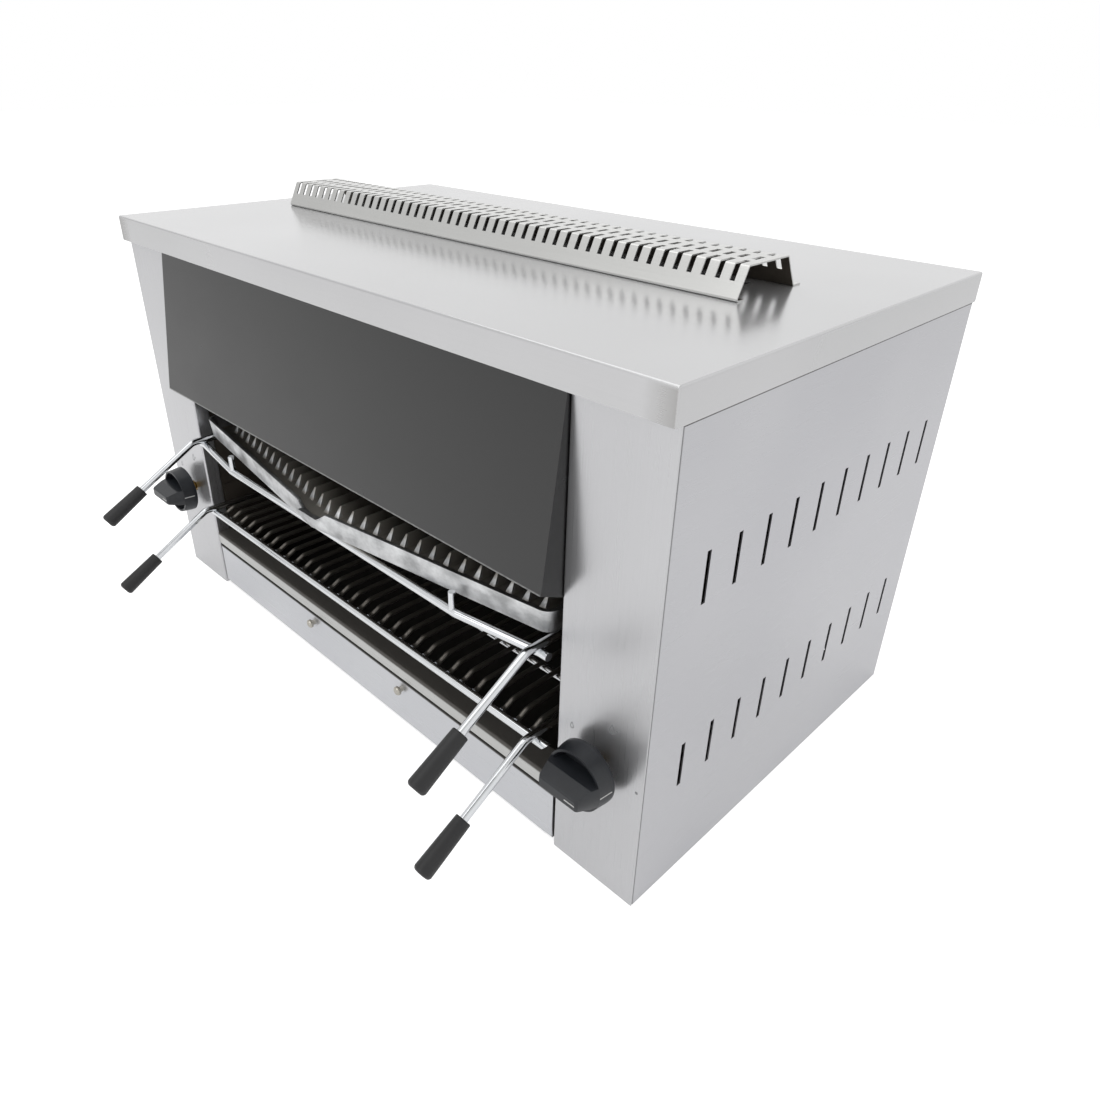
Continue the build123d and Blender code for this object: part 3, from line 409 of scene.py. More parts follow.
oxide_wire = mottled_metal("oxidised_screen_wire", "#4a423b", "#6f655b", 0.8, (0.4, 0.6), 0.008, 0.0001)
inner_steel = mottled_metal("galvanised_inner_steel", "#8d8f90", "#a9abac", 1.0, (0.34, 0.48), 0.012, 0.00002)
dress(fired_ceramic("perforated_burner_ceramic"), *both("burner_tiles"))
dress(inner_steel, *both("burner_housing"), "mixing_tubes", "heat_shield", "flue_duct")
for side, x in (("left", -SCREEN_X), ("right", SCREEN_X)):
    screen = grow(side + "_woven_screen", "casing", "scaled_wire", oxide_wire,
                  [((x, SCREEN_Y, SCREEN_Z), (0, 0, 1))], woven_screen,
                  Width=SCREEN_SIZE[0] - 0.002, Depth=SCREEN_SIZE[1] - 0.002, Wires=SCREEN_WIRES,
                  Pitch_X=SCREEN_SIZE[0] / (SCREEN_WIRES + 1), Pitch_Y=SCREEN_SIZE[1] / (SCREEN_WIRES + 1),
                  Wire_Radius=0.0008)
    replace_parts(screen, side + "_radiant_screen")
    # A strip bent round the screen holds the wires' ends.
    bm = bmesh.new()
    rows = []
    low, high = SCREEN_RIM
    for inset, z in ((0.0, low), (0.0, high), (SCREEN_STRIP, high), (SCREEN_STRIP, low)):
        loop = rounded_rectangle(SCREEN_SIZE[0] - 2 * inset, SCREEN_SIZE[1] - 2 * inset, 0.005 - inset)
        rows.append([bm.verts.new((x + px, SCREEN_Y + py, z)) for px, py in loop])
    joined(bm, rows, True)
    mesh_piece(side + "_screen_rim", bm, "casing", "scaled_wire", oxide_wire)


# ---- Gas line --------------------------------------------------------------------------------
# Brass taps behind the columns, a steel pipe between them and a threaded inlet at the back.
# Copper capillaries run from the taps to the burners.

REAR_FACE = 0.2263
INLET = (0.300, 0.060)
INLET_RADIUS = 0.0104775
INLET_BORE = 0.0075
INLET_ENDS = (0.2115, 0.2495)
THREAD_PITCH = 0.001814          # fourteen turns to the inch
THREAD_DEPTH = 0.00116
NUT_RADIUS = 0.017               # from its axis to a corner
NUT_ENDS = (REAR_FACE, REAR_FACE + 0.006)
ROUND = 48                       # vertices round the pipe


def turned_metal(name, dark, light, roughness=(0.24, 0.38)):
    """Machined metal: fine tool marks round the work, and a slight tarnish."""
    material, tree, place = blank(name)
    marks = flecks(tree, place, (0.0036, 0.0006, 0.0036), detail=2.0)
    tarnish = flecks(tree, place, (0.01, 0.01, 0.01), detail=4.0)
    base = add(tree, "ShaderNodeMix", {0: tarnish, 6: colour(dark), 7: colour(light)}, data_type="RGBA")
    rough = add(tree, "ShaderNodeMapRange", {0: marks, 1: 0.3, 2: 0.7, 3: roughness[0], 4: roughness[1]})
    bump = add(tree, "ShaderNodeBump", {"Height": marks, "Strength": 0.3, "Distance": 0.00002})
    return surfaced(material, {"Base Color": base, "Metallic": 1.0, "Roughness": rough, "Normal": bump})


def inlet_row(bm, y, radius_at):
    """A ring of vertices round the inlet's axis, its radius given by a function of the angle."""
    row = []
    for i in range(ROUND):
        a = math.tau * i / ROUND
        across, up = radius_at(a) * math.sin(a), radius_at(a) * math.cos(a)
        row.append(bm.verts.new((INLET[0] + across, y, INLET[1] + up)))
    return row


def nut_flat(a):
    """How far out from its axis the nut's hexagon is at an angle."""
    return NUT_RADIUS * math.cos(math.pi / 6) / math.cos((a + math.pi / 6) % (math.pi / 3) - math.pi / 6)


brass = turned_metal("machined_brass", "#9a7c3e", "#c4a25c")
dress(brass, *both("gas_valve"), *both("valve_plunger"), *both("valve_spindle"), "injectors")
dress(turned_metal("zinc_plated_pipe", "#9b9da0", "#b7b9bb"), "gas_manifold", "feed_pipes")
dress(turned_metal("drawn_copper", "#9a5a3c", "#c07a54"), "thermocouples")

bm = bmesh.new()
thread_start, thread_end = NUT_ENDS[1] + 0.001, INLET_ENDS[1] - 0.0012
rows = [inlet_row(bm, y, lambda a: INLET_RADIUS) for y in (INLET_ENDS[0], thread_start - 0.0005)]
steps = round((thread_end - thread_start) / THREAD_PITCH * 4)
for k in range(steps):
    y = thread_start + (thread_end - thread_start) * k / (steps - 1)
    turns = (y - thread_start) / THREAD_PITCH
    # The groove's depth rises and falls once in a pitch, and its start moves round with the angle.
    rows.append(inlet_row(bm, y, lambda a: INLET_RADIUS
                          - THREAD_DEPTH * abs(2 * ((turns - a / math.tau) % 1) - 1)))
for y, radius in ((INLET_ENDS[1], INLET_RADIUS - 0.0016), (INLET_ENDS[1], INLET_BORE),
                  (INLET_ENDS[0] + 0.003, INLET_BORE)):
    rows.append(inlet_row(bm, y, lambda a: radius))
joined(bm, rows)
bm.faces.new(rows[0])
bm.faces.new(rows[-1])
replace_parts(mesh_piece("threaded_inlet", bm, "casing", "brass", brass, angle=25), "gas_inlet")

bm = bmesh.new()
rows = []
for y, corner in ((NUT_ENDS[0], 0.985), (NUT_ENDS[1] - 0.001, 0.985), (NUT_ENDS[1], 0.9)):
    rows.append(inlet_row(bm, y, lambda a: min(nut_flat(a), NUT_RADIUS * corner)))
for y in NUT_ENDS[::-1]:
    rows.append(inlet_row(bm, y, lambda a: INLET_RADIUS + 0.0001))
joined(bm, rows, True)
mesh_piece("inlet_lock_nut", bm, "casing", "brass", brass, angle=25)


# ---- Lid and flue guard ----------------------------------------------------------------------
# The lid is one sheet folded down all round, its corners welded and ground smooth.
# The guard over the flue is a folded channel with slots that wrap over its two upper folds,
# punched before folding, and smoked brown inside.

LID_TOP = 0.4635
LID_SIDE = 0.4012
CORNER_TINT = 0.0272                # how far the straw tint of a welded corner reaches
GUARD_SHEET = 0.0012
GUARD_BEND = 0.0022
FOOT_BEND = 0.001                   # the rear foot's fold is sharper
GUARD_X = (-0.34225, 0.31375)
GUARD_FEET = (-0.0455, 0.0425)      # Y of the two feet's folds
GUARD_FLAT = (-0.0320, 0.0270)      # Y of the flat top's two folds
GUARD_TOP = 0.4905
SLOTS = 47
SLOT_PITCH = 0.0138
SLOT_WIDTH = 0.0050
SLOT_DROP = 0.0125
SLOT_RUNS = (0.0150, 0.0070, 0.0130)    # along the flat: front run, half the middle run, rear run


def zone(tree, amount, *edges):
    """Fades an amount out past each edge: a value, where the amount is gone and where it is whole."""
    for value, gone, whole in edges:
        ramp = add(tree, "ShaderNodeMapRange", {0: value, 1: gone, 2: whole})
        amount = add(tree, "ShaderNodeMath", {0: amount, 1: ramp}, operation="MULTIPLY")
    return amount


def lid_corners(tree, axes):
    """Straw tint on the front band beside its welded corners; the ground corner itself is bright."""
    out = add(tree, "ShaderNodeMath", {0: axes["X"]}, operation="ABSOLUTE")
    return zone(tree, 0.34, (out, LID_SIDE - CORNER_TINT, LID_SIDE - 0.0017),
                (out, LID_SIDE - 0.0009, LID_SIDE - 0.0015), (axes["Z"], LID_TOP - 0.001, LID_TOP - 0.003),
                (axes["Y"], COLUMN_FACE + 0.004, COLUMN_FACE + 0.001))


def fold(corner, before, after, radius, steps=4):
    """Points of the arc that rounds a corner between two neighbours, all as pairs of Y and Z."""
    corner = Vector(corner)
    to_before, to_after = ((Vector(p) - corner).normalized() for p in (before, after))
    half = to_before.angle(to_after) / 2
    centre = corner + (to_before + to_after).normalized() * radius / math.sin(half)
    start = corner + to_before * radius / math.tan(half) - centre
    end = corner + to_after * radius / math.tan(half) - centre
    swing = start.angle(end)
    arc = []
    for i in range(steps + 1):
        a, b = math.sin(swing * (1 - i / steps)), math.sin(swing * i / steps)
        arc.append(centre + (start * a + end * b) / math.sin(swing))
    return arc


def guard_path():
    """The guard's outer side from foot to foot, and which of its stretches the slots take away."""
    (y1, y4), (y2, y3) = GUARD_FEET, GUARD_FLAT
    foot_top = LID_TOP + GUARD_SHEET
    rear_foot = y4 - (y4 - y3) * GUARD_SHEET / (GUARD_TOP - LID_TOP)
    corners = [(y1 + 0.011, LID_TOP), (y1, LID_TOP), (y2, GUARD_TOP), (y3, GUARD_TOP), (rear_foot, foot_top),
               (y4 + 0.010, foot_top)]
    folds = [fold(corners[i], corners[i - 1], corners[i + 1], GUARD_BEND if i < 4 else FOOT_BEND)
             for i in (1, 2, 3, 4)]
    share = SLOT_DROP / (GUARD_TOP - LID_TOP)
    middle = (y2 + y3) / 2
    runs = [
        [Vector((y2 + (y1 - y2) * share, GUARD_TOP - SLOT_DROP)), *folds[1],
         Vector((y2 + SLOT_RUNS[0], GUARD_TOP))],
        [Vector((middle - SLOT_RUNS[1], GUARD_TOP)), Vector((middle + SLOT_RUNS[1], GUARD_TOP))],
        [Vector((y3 - SLOT_RUNS[2], GUARD_TOP)), *folds[2],
         Vector((y3 + (rear_foot - y3) * share, GUARD_TOP - SLOT_DROP))],
    ]
    path, slotted = [Vector(corners[0]), *folds[0]], set()
    for run in runs:
        slotted.update(range(len(path), len(path) + len(run) - 1))
        path += run
    return path + [*folds[3], Vector(corners[5])], slotted


def slotted_guard(bm):
    """The sheet as outer and inner quads between stations along X, with walls where it ends."""
    path, slotted = guard_path()
    inner = []
    for k, point in enumerate(path):
        normals = []
        for a, b in ((k - 1, k), (k, k + 1)):
            if 0 <= a and b < len(path):
                run = (path[b] - path[a]).normalized()
                normals.append(Vector((run.y, -run.x)))
        mean = sum(normals, Vector((0.0, 0.0))).normalized()
        inner.append(point + mean * GUARD_SHEET / mean.dot(normals[0]))
    centre = sum(GUARD_X) / 2
    stations = [GUARD_X[0]]
    for i in range(SLOTS):
        x = centre + (i - (SLOTS - 1) / 2) * SLOT_PITCH
        stations += [x - SLOT_WIDTH / 2, x + SLOT_WIDTH / 2]
    stations.append(GUARD_X[1])
    outer_verts = [[bm.verts.new((x, p.x, p.y)) for p in path] for x in stations]
    inner_verts = [[bm.verts.new((x, p.x, p.y)) for p in inner] for x in stations]

    def solid(i, k):
        return 0 <= i < len(stations) - 1 and 0 <= k < len(path) - 1 and not (i % 2 and k in slotted)

    for i in range(len(stations) - 1):
        for k in range(len(path) - 1):
            if not solid(i, k):
                continue
            corners = [(i, k), (i + 1, k), (i + 1, k + 1), (i, k + 1)]
            bm.faces.new([outer_verts[a][b] for a, b in corners])
            bm.faces.new([inner_verts[a][b] for a, b in corners[::-1]]).material_index = 1
            for side, (di, dk) in enumerate(((0, -1), (1, 0), (0, 1), (-1, 0))):
                if not solid(i + di, k + dk):
                    (a, b), (c, d) = corners[side], corners[(side + 1) % 4]
                    bm.faces.new([outer_verts[a][b], inner_verts[a][b], inner_verts[c][d], outer_verts[c][d]])


# The lid's and the guard's paler tones are painted light, as on the casing sheets.
dress(satin_stainless("satin_stainless_lid", "X", "#cacacb", "#d1d1d2", (0.16, 0.22),
                      film=lid_corners, film_colour="#6b655c", metallic=0.7), "lid")
guard_sheet = satin_stainless("satin_stainless_guard", "X", "#cdcdcb", "#d6d6d4", (0.2, 0.26))
smoked = heat_darkened("smoked_guard_inside", "#35302a", "#544c42")
bm = bmesh.new()
slotted_guard(bm)
guard = mesh_piece("slotted_flue_guard", bm, "casing", "satin_stainless", guard_sheet, smoked)
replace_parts(guard, "flue_guard")


# ---- Heat deflector and screws ---------------------------------------------------------------
# A leaning sheet in front of the burners, stove-enamelled near black, screwed through its cheeks.
# The rear panel is held by eight screws of the same kind.

DEFLECTOR_EDGE = 0.2822             # how high its worn lower edge reaches
CHEEK_X = 0.3070                    # inner face of the cheeks, which have no worn edge
CHEEK_SCREWS = (0.300, 0.420)       # heights of the screws in a cheek
REAR_SCREW_X = 0.3908
REAR_SCREWS = (0.025, 0.155, 0.285, 0.415)
SCREW_SIZES = {"Head_Radius": 0.004, "Head_Height": 0.0024, "Shank_Radius": 0.002, "Shank_Length": 0.006,
               "Recess_Length": 0.0042, "Recess_Width": 0.0009}


def stove_enamel(name):
    """Heat-proof satin enamel: near black with a soft sheen, worn bright along its lower edge."""
    material, tree, place = blank(name)
    cloud = flecks(tree, place, (0.12, 0.12, 0.08))
    nicks = flecks(tree, place, (0.004, 0.004, 0.0008))
    peel = flecks(tree, place, (0.0011, 0.0011, 0.0011), detail=2.0)
    axes = add(tree, "ShaderNodeSeparateXYZ", {0: place}).outputs
    out = add(tree, "ShaderNodeMath", {0: axes["X"]}, operation="ABSOLUTE")
    patchy = add(tree, "ShaderNodeMapRange", {0: nicks, 1: 0.35, 2: 0.6, 3: 0.35, 4: 0.9})
    worn = zone(tree, patchy, (axes["Z"], DEFLECTOR_EDGE + 0.0004, DEFLECTOR_EDGE - 0.0006),
                (out, CHEEK_X + 0.0012, CHEEK_X + 0.0006))
    coat = add(tree, "ShaderNodeMix", {0: cloud, 6: colour("#0f0f0f"), 7: colour("#161616")},
               data_type="RGBA")
    base = add(tree, "ShaderNodeMix", {0: worn, 6: coat, 7: colour("#a3a4a3")}, data_type="RGBA")
    rough = add(tree, "ShaderNodeMapRange", {0: cloud, 1: 0.3, 2: 0.7, 3: 0.27, 4: 0.35})
    bump = add(tree, "ShaderNodeBump", {"Height": peel, "Strength": 0.2, "Distance": 0.00002})
    return surfaced(material, {"Base Color": base, "Roughness": rough, "IOR": 1.62, "Normal": bump})


def cross_screws(tree, given):
    """Pan heads with a cross recess, each on a short shank, set on the seeds and turned at random."""
    head = add(tree, "GeometryNodeMeshCylinder", {"Vertices": 24, "Side Segments": 5,
                                                  "Radius": given["Head Radius"],
                                                  "Depth": given["Head Height"]})
    half = add(tree, "ShaderNodeMath", {0: given["Head Height"], 1: 0.5}, operation="MULTIPLY")
    rise = add(tree, "ShaderNodeCombineXYZ", {"Z": half})
    head = add(tree, "GeometryNodeTransform", {"Geometry": head, "Translation": rise})
    # The head narrows with the cube of its height, which rounds its crown.
    spot = add(tree, "GeometryNodeInputPosition")
    parts = add(tree, "ShaderNodeSeparateXYZ", {0: spot}).outputs
    up = add(tree, "ShaderNodeMath", {0: parts["Z"], 1: given["Head Height"]}, operation="DIVIDE")
    cube = add(tree, "ShaderNodeMath", {0: up, 1: 3.0}, operation="POWER")
    narrow = add(tree, "ShaderNodeMath", {0: cube, 1: -0.32, 2: 1.0}, operation="MULTIPLY_ADD")
    shape = add(tree, "ShaderNodeCombineXYZ", {"X": narrow, "Y": narrow, "Z": 1.0})
    crown = add(tree, "ShaderNodeVectorMath", {0: spot, 1: shape}, operation="MULTIPLY")
    head = add(tree, "GeometryNodeSetPosition", {"Geometry": head, "Position": crown})
    cut = add(tree, "GeometryNodeMeshBoolean", {"Mesh 1": head}, operation="DIFFERENCE", solver="EXACT")
    top = add(tree, "ShaderNodeCombineXYZ", {"Z": given["Head Height"]})
    for quarter in (0.0, math.pi / 2):
        size = add(tree, "ShaderNodeCombineXYZ", {"X": given["Recess Length"], "Y": given["Recess Width"],
                                                  "Z": given["Head Height"]})
        slot = add(tree, "GeometryNodeMeshCube", {"Size": size})
        slot = add(tree, "GeometryNodeTransform", {"Geometry": slot, "Translation": top,
                                                   "Rotation": (0.0, 0.0, quarter)})
        tree.links.new(slot.outputs[0], cut.inputs["Mesh 2"])
    shank = add(tree, "GeometryNodeMeshCylinder", {"Vertices": 16, "Radius": given["Shank Radius"],
                                                   "Depth": given["Shank Length"]})
    depth = add(tree, "ShaderNodeMath", {0: given["Shank Length"], 1: -0.5}, operation="MULTIPLY")
    sink = add(tree, "ShaderNodeCombineXYZ", {"Z": depth})
    shank = add(tree, "GeometryNodeTransform", {"Geometry": shank, "Translation": sink})
    whole = add(tree, "GeometryNodeJoinGeometry")
    for part in (cut, shank):
        tree.links.new(part.outputs[0], whole.inputs[0])
    way = add(tree, "GeometryNodeInputNamedAttribute", {"Name": "way"}, data_type="FLOAT_VECTOR")
    stand = add(tree, "FunctionNodeAlignRotationToVector", {"Vector": way}, axis="Z")
    angle = add(tree, "FunctionNodeRandomValue", {3: math.tau, "Seed": 7}, data_type="FLOAT")
    spin = add(tree, "FunctionNodeAxisAngleToRotation", {"Angle": angle, "Axis": (0.0, 0.0, 1.0)})
    turned = add(tree, "FunctionNodeRotateRotation", {"Rotation": stand, "Rotate By": spin},
                 rotation_space="LOCAL")
    return add(tree, "GeometryNodeInstanceOnPoints", {"Points": given["Geometry"], "Instance": whole,
                                                      "Rotation": turned})


dress(stove_enamel("near_black_stove_enamel"), "heat_deflector")
zinc = turned_metal("zinc_plated_screws", "#a5a7a4", "#c9cbc8")
cheek_seeds = [((s * CHEEK_X, COLUMN_FACE + 0.007, z), (-s, 0, 0)) for s in (-1, 1) for z in CHEEK_SCREWS]
rear_seeds = [((s * REAR_SCREW_X, REAR_FACE, z), (0, 1, 0)) for s in (-1, 1) for z in REAR_SCREWS]
for name, seeds, solids in (("cheek_cross_screws", cheek_seeds, "deflector_screws"),
                            ("rear_cross_screws", rear_seeds, "rear_panel_screws")):
    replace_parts(grow(name, "casing", "zinc_screws", zinc, seeds, cross_screws, **SCREW_SIZES), solids)


# ---- Racks and grips -------------------------------------------------------------------------
# Round steel bars, welded and chromed: a wire grid below, an open frame for the pan above.
# The side rods bend down in front and carry tapered moulded grips.

WIRES = 31
WIRE_PITCH = 0.0185
RAIL_TOP = 0.119
RACK_RAILS = (-0.1555, -0.0055, 0.1425)
FRONT_RAIL = -0.2315


def rack_wires(tree, axes):
    """The thin wires above the rails and their bent ends behind the front rail: browned by heat, and darker
    still as a painted reflection of the dark cavity around them.
    """
    above = add(tree, "ShaderNodeMapRange", {0: axes["Z"], 1: RAIL_TOP - 0.0003, 2: RAIL_TOP})
    front_ends = zone(tree, 1.0, (axes["Y"], FRONT_RAIL + 0.0036, FRONT_RAIL + 0.0042),
                      (axes["Y"], FRONT_RAIL + 0.030, FRONT_RAIL + 0.028))
    return add(tree, "ShaderNodeMath", {0: above, 1: front_ends}, operation="MAXIMUM")


def chrome(name, browned=None):
    """Nickel-chrome plate on drawn bar: mirror bright, a little duller in patches.

    Where heat has browned it, it is greyer and has lost much of its shine; there its darker grey is also
    painted shade, for the dark cavity that it reflects."""
    material, tree, place = blank(name)
    haze = flecks(tree, place, (0.02, 0.02, 0.02), detail=4.0)
    ripple = flecks(tree, place, (0.0025, 0.0025, 0.0025))
    base = add(tree, "ShaderNodeMix", {0: haze, 6: colour("#d0d2d5"), 7: colour("#e4e6e8")}, data_type="RGBA")
    rough = add(tree, "ShaderNodeMapRange", {0: haze, 1: 0.3, 2: 0.7, 3: 0.07, 4: 0.17})
    bump = add(tree, "ShaderNodeBump", {"Height": ripple, "Strength": 0.15, "Distance": 0.00002})
    inputs = {"Base Color": base, "Metallic": 1.0, "Roughness": rough, "Normal": bump}
    if browned:
        amount = browned(tree, add(tree, "ShaderNodeSeparateXYZ", {0: place}).outputs)
        dark = add(tree, "ShaderNodeMix", {0: amount, 6: base, 7: colour("#77736d")}, data_type="RGBA")
        dull = add(tree, "ShaderNodeMix", {0: amount, 2: rough, 3: 0.32}, data_type="FLOAT")
        metal = add(tree, "ShaderNodeMapRange", {0: amount, 1: 0.0, 2: 1.0, 3: 1.0, 4: 0.85})
        inputs.update({"Base Color": dark, "Roughness": dull, "Metallic": metal})
    return surfaced(material, inputs)


def moulded_black(name, dark="#1a1a1b", light="#242425", roughness=(0.38, 0.5)):
    """Glass-filled phenolic or nylon, black, with the fine spark-eroded skin of its mould."""
    material, tree, place = blank(name)
    skin = flecks(tree, place, (0.0009, 0.0009, 0.0009), detail=2.0)
    cloud = flecks(tree, place, (0.012, 0.012, 0.012))
    base = add(tree, "ShaderNodeMix", {0: cloud, 6: colour(dark), 7: colour(light)}, data_type="RGBA")
    rough = add(tree, "ShaderNodeMapRange", {0: skin, 1: 0.3, 2: 0.7, 3: roughness[0], 4: roughness[1]})
    bump = add(tree, "ShaderNodeBump", {"Height": skin, "Strength": 0.3, "Distance": 0.00005})
    return surfaced(material, {"Base Color": base, "Roughness": rough, "Normal": bump})


def weld_beads(tree, given):
    """Small flattened beads of squeezed-out metal, a little unequal, on the seeds."""
    bead = add(tree, "GeometryNodeMeshIcoSphere", {"Radius": given["Bead Radius"], "Subdivisions": 2})
    bead = add(tree, "GeometryNodeTransform", {"Geometry": bead, "Scale": (0.9, 1.25, 0.6)})
    size = add(tree, "FunctionNodeRandomValue", {2: 0.8, 3: 1.15, "Seed": 3}, data_type="FLOAT")
    return add(tree, "GeometryNodeInstanceOnPoints", {"Points": given["Geometry"], "Instance": bead,
                                                      "Scale": size})


dress(chrome("bright_chrome_bar"), "upper_rack", *both("upper_side_rod"), *both("lower_side_rod"))
dress(chrome("chromed_rack_browned_wires", rack_wires), "lower_rack")
dress(moulded_black("moulded_black_grip"), *both("upper_grip"), *both("lower_grip"))
# The beads are as dark as the browned wires, which also paints in the dark cavity that they reflect.
weld_metal = mottled_metal("browned_weld_metal", "#4e4a45", "#77736c", 0.6, (0.4, 0.55), 0.002, 0.00005)
bead_seeds = []
for i in range(WIRES):
    x = (i - (WIRES - 1) / 2) * WIRE_PITCH
    for y in RACK_RAILS:
        bead_seeds += [((x + side * 0.0019, y, RAIL_TOP - 0.0002), (0, 0, 1)) for side in (-1, 1)]
    bead_seeds.append(((x, FRONT_RAIL + 0.0037, RAIL_TOP - 0.0018), (0, 0, 1)))
grow("lower_rack_weld_beads", "lower_rack", "bright_chrome", weld_metal, bead_seeds, weld_beads,
     Bead_Radius=0.0012)


# ---- Brander pan -----------------------------------------------------------------------------
# A sand-cast aluminium pan with tapered ribs that slope down at their front ends. Its outside is
# bright from tumbling; the floor between the ribs is dark from seasoning, with painted shade that deepens
# towards the back.

PAN_FLOOR = 0.2243
PAN_CREST = 0.2363
PAN_HALF = 0.2875
PAN_APEX = -0.2605
PAN_RISE = 0.0405 / 0.289
PAN_BACK = 0.1225
RIB_START = 0.022
RIB_SLOPE = 0.007


def cast_aluminium(name):
    """Tumbled sand casting: silvery, finely pitted, with dark baked fat on the sunk floor.

    The fat is drawn pale near the front and dark towards the back, which paints light at the front and
    shade under the deflector.
    """
    material, tree, place = blank(name)
    pits = flecks(tree, place, (0.0022, 0.0022, 0.0022), detail=5.0)
    cloud = flecks(tree, place, (0.028, 0.028, 0.02), detail=5.0)
    axes = add(tree, "ShaderNodeSeparateXYZ", {0: place}).outputs
    out = add(tree, "ShaderNodeMath", {0: axes["X"]}, operation="ABSOLUTE")
    front = add(tree, "ShaderNodeMath", {0: out, 1: PAN_RISE, 2: PAN_APEX}, operation="MULTIPLY_ADD")
    from_front = add(tree, "ShaderNodeMath", {0: axes["Y"], 1: front}, operation="SUBTRACT")
    # Within the walls, by how far a point is in from the sides, the front and the back.
    within = zone(tree, 1.0, (out, PAN_HALF + 0.0004, PAN_HALF - 0.0006), (from_front, 0.0031, 0.0041),
                  (axes["Y"], PAN_BACK + 0.0004, PAN_BACK - 0.0006))
    past_ends = add(tree, "ShaderNodeMapRange", {0: from_front, 1: RIB_START + RIB_SLOPE * 0.45,
                                                 2: RIB_START + RIB_SLOPE * 0.9})
    raised = add(tree, "ShaderNodeMapRange", {0: axes["Z"], 1: PAN_FLOOR + 0.0008, 2: PAN_FLOOR + 0.0030})
    rib_ends = add(tree, "ShaderNodeMath", {0: 1.0, 1: past_ends}, operation="SUBTRACT")
    bare = add(tree, "ShaderNodeMath", {0: raised, 1: rib_ends}, operation="MULTIPLY")
    kept = add(tree, "ShaderNodeMath", {0: 1.0, 1: bare}, operation="SUBTRACT")
    baked = add(tree, "ShaderNodeMath", {0: within, 1: kept}, operation="MULTIPLY")
    tone = add(tree, "ShaderNodeMapRange", {0: cloud, 1: 0.35, 2: 0.65})
    skin = add(tree, "ShaderNodeMix", {0: tone, 6: colour("#a2a3a4"), 7: colour("#dfe0e1")}, data_type="RGBA")
    # Paler near the front and darker towards the back: painted light and shade over the baked fat.
    deep = add(tree, "ShaderNodeMapRange", {0: from_front, 1: 0.012, 2: 0.050})
    fat = add(tree, "ShaderNodeMix", {0: deep, 6: colour("#c2beb6"), 7: colour("#5c5751")}, data_type="RGBA")
    base = add(tree, "ShaderNodeMix", {0: baked, 6: skin, 7: fat}, data_type="RGBA")
    metal = add(tree, "ShaderNodeMapRange", {0: baked, 1: 0.0, 2: 1.0, 3: 1.0, 4: 0.55})
    rough = add(tree, "ShaderNodeMapRange", {0: pits, 1: 0.3, 2: 0.7, 3: 0.3, 4: 0.5})
    bump = add(tree, "ShaderNodeBump", {"Height": pits, "Strength": 0.5, "Distance": 0.0002})
    return surfaced(material, {"Base Color": base, "Metallic": metal, "Roughness": rough, "Normal": bump})


bm = bmesh.new()
bm.from_mesh(NODES["brander_pan"].data)
bmesh.ops.remove_doubles(bm, verts=bm.verts, dist=1e-6)
bmesh.ops.dissolve_limit(bm, angle_limit=math.radians(1), verts=bm.verts, edges=bm.edges)
for vert in bm.verts:
    start = PAN_APEX + PAN_RISE * abs(vert.co.x) + RIB_START
    if abs(vert.co.z - PAN_CREST) < 1e-5 and abs(vert.co.y - start) < 0.001:
        vert.co.y += RIB_SLOPE
sharp = [edge for edge in bm.edges if edge.is_manifold and edge.calc_face_angle() > math.radians(28)]
bmesh.ops.bevel(bm, geom=sharp, offset=0.0006, segments=2, profile=0.5, affect="EDGES", clamp_overlap=True)
for face in bm.faces:
    face.material_index = 0
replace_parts(mesh_piece("cast_brander_pan", bm, "brander_pan", "cast_aluminium",
                       cast_aluminium("sand_cast_aluminium")), "brander_pan")


# ---- Crumb tray ------------------------------------------------------------------------------
# A folded stainless drawer front with two small turned pulls, spot-welded to the tray behind.
# The tray slides on the casing's lowest ledges and catches what drips through the racks.

TRAY_INSIDE = -0.2263       # rear face of the front's sheet
TRAY_TOP = 0.0586


def tray_crumbs_and_shadow(tree, axes):
    """Baked crumbs and fat behind the front, and a painted shadow in the gap at the joint with the crossbar.
    """
    behind = add(tree, "ShaderNodeMapRange", {0: axes["Y"], 1: TRAY_INSIDE + 0.0014, 2: TRAY_INSIDE + 0.0018})
    joint = add(tree, "ShaderNodeMapRange", {0: axes["Z"], 1: TRAY_TOP - 0.0024, 2: TRAY_TOP - 0.0010})
    return add(tree, "ShaderNodeMath", {0: behind, 1: joint}, operation="MAXIMUM")


# The tray's paler tones are painted light, as on the casing sheets.
dress(satin_stainless("satin_stainless_tray", "X", "#cbccd0", "#d3d4d7", film=tray_crumbs_and_shadow), "crumb_tray")
dress(turned_metal("turned_pull_steel", "#a8a49b", "#c6c2b8"), "tray_pulls")


# ---- Knobs -----------------------------------------------------------------------------------
# Moulded black knobs, a dished skirt with a bar grip across it, pushed on to the tap spindles.
# A line of white paint lies at the bar's end, and another runs down the skirt's edge.

KNOB_FOOT = -0.2375
KNOB_TOP = -0.2745
LINE = 0.0006                       # half the width of a painted line
# Each line's two ends, measured out from the knob's axis and along it, and the paint's thickness.
PAINTED = (((0.0080, KNOB_TOP - 0.00008), (0.0185, KNOB_TOP - 0.00008), (0, 0.0004, 0)),
           ((0.02878, KNOB_FOOT - 0.0042), (0.02743, KNOB_FOOT - 0.0168), (-0.0005, 0, 0)))

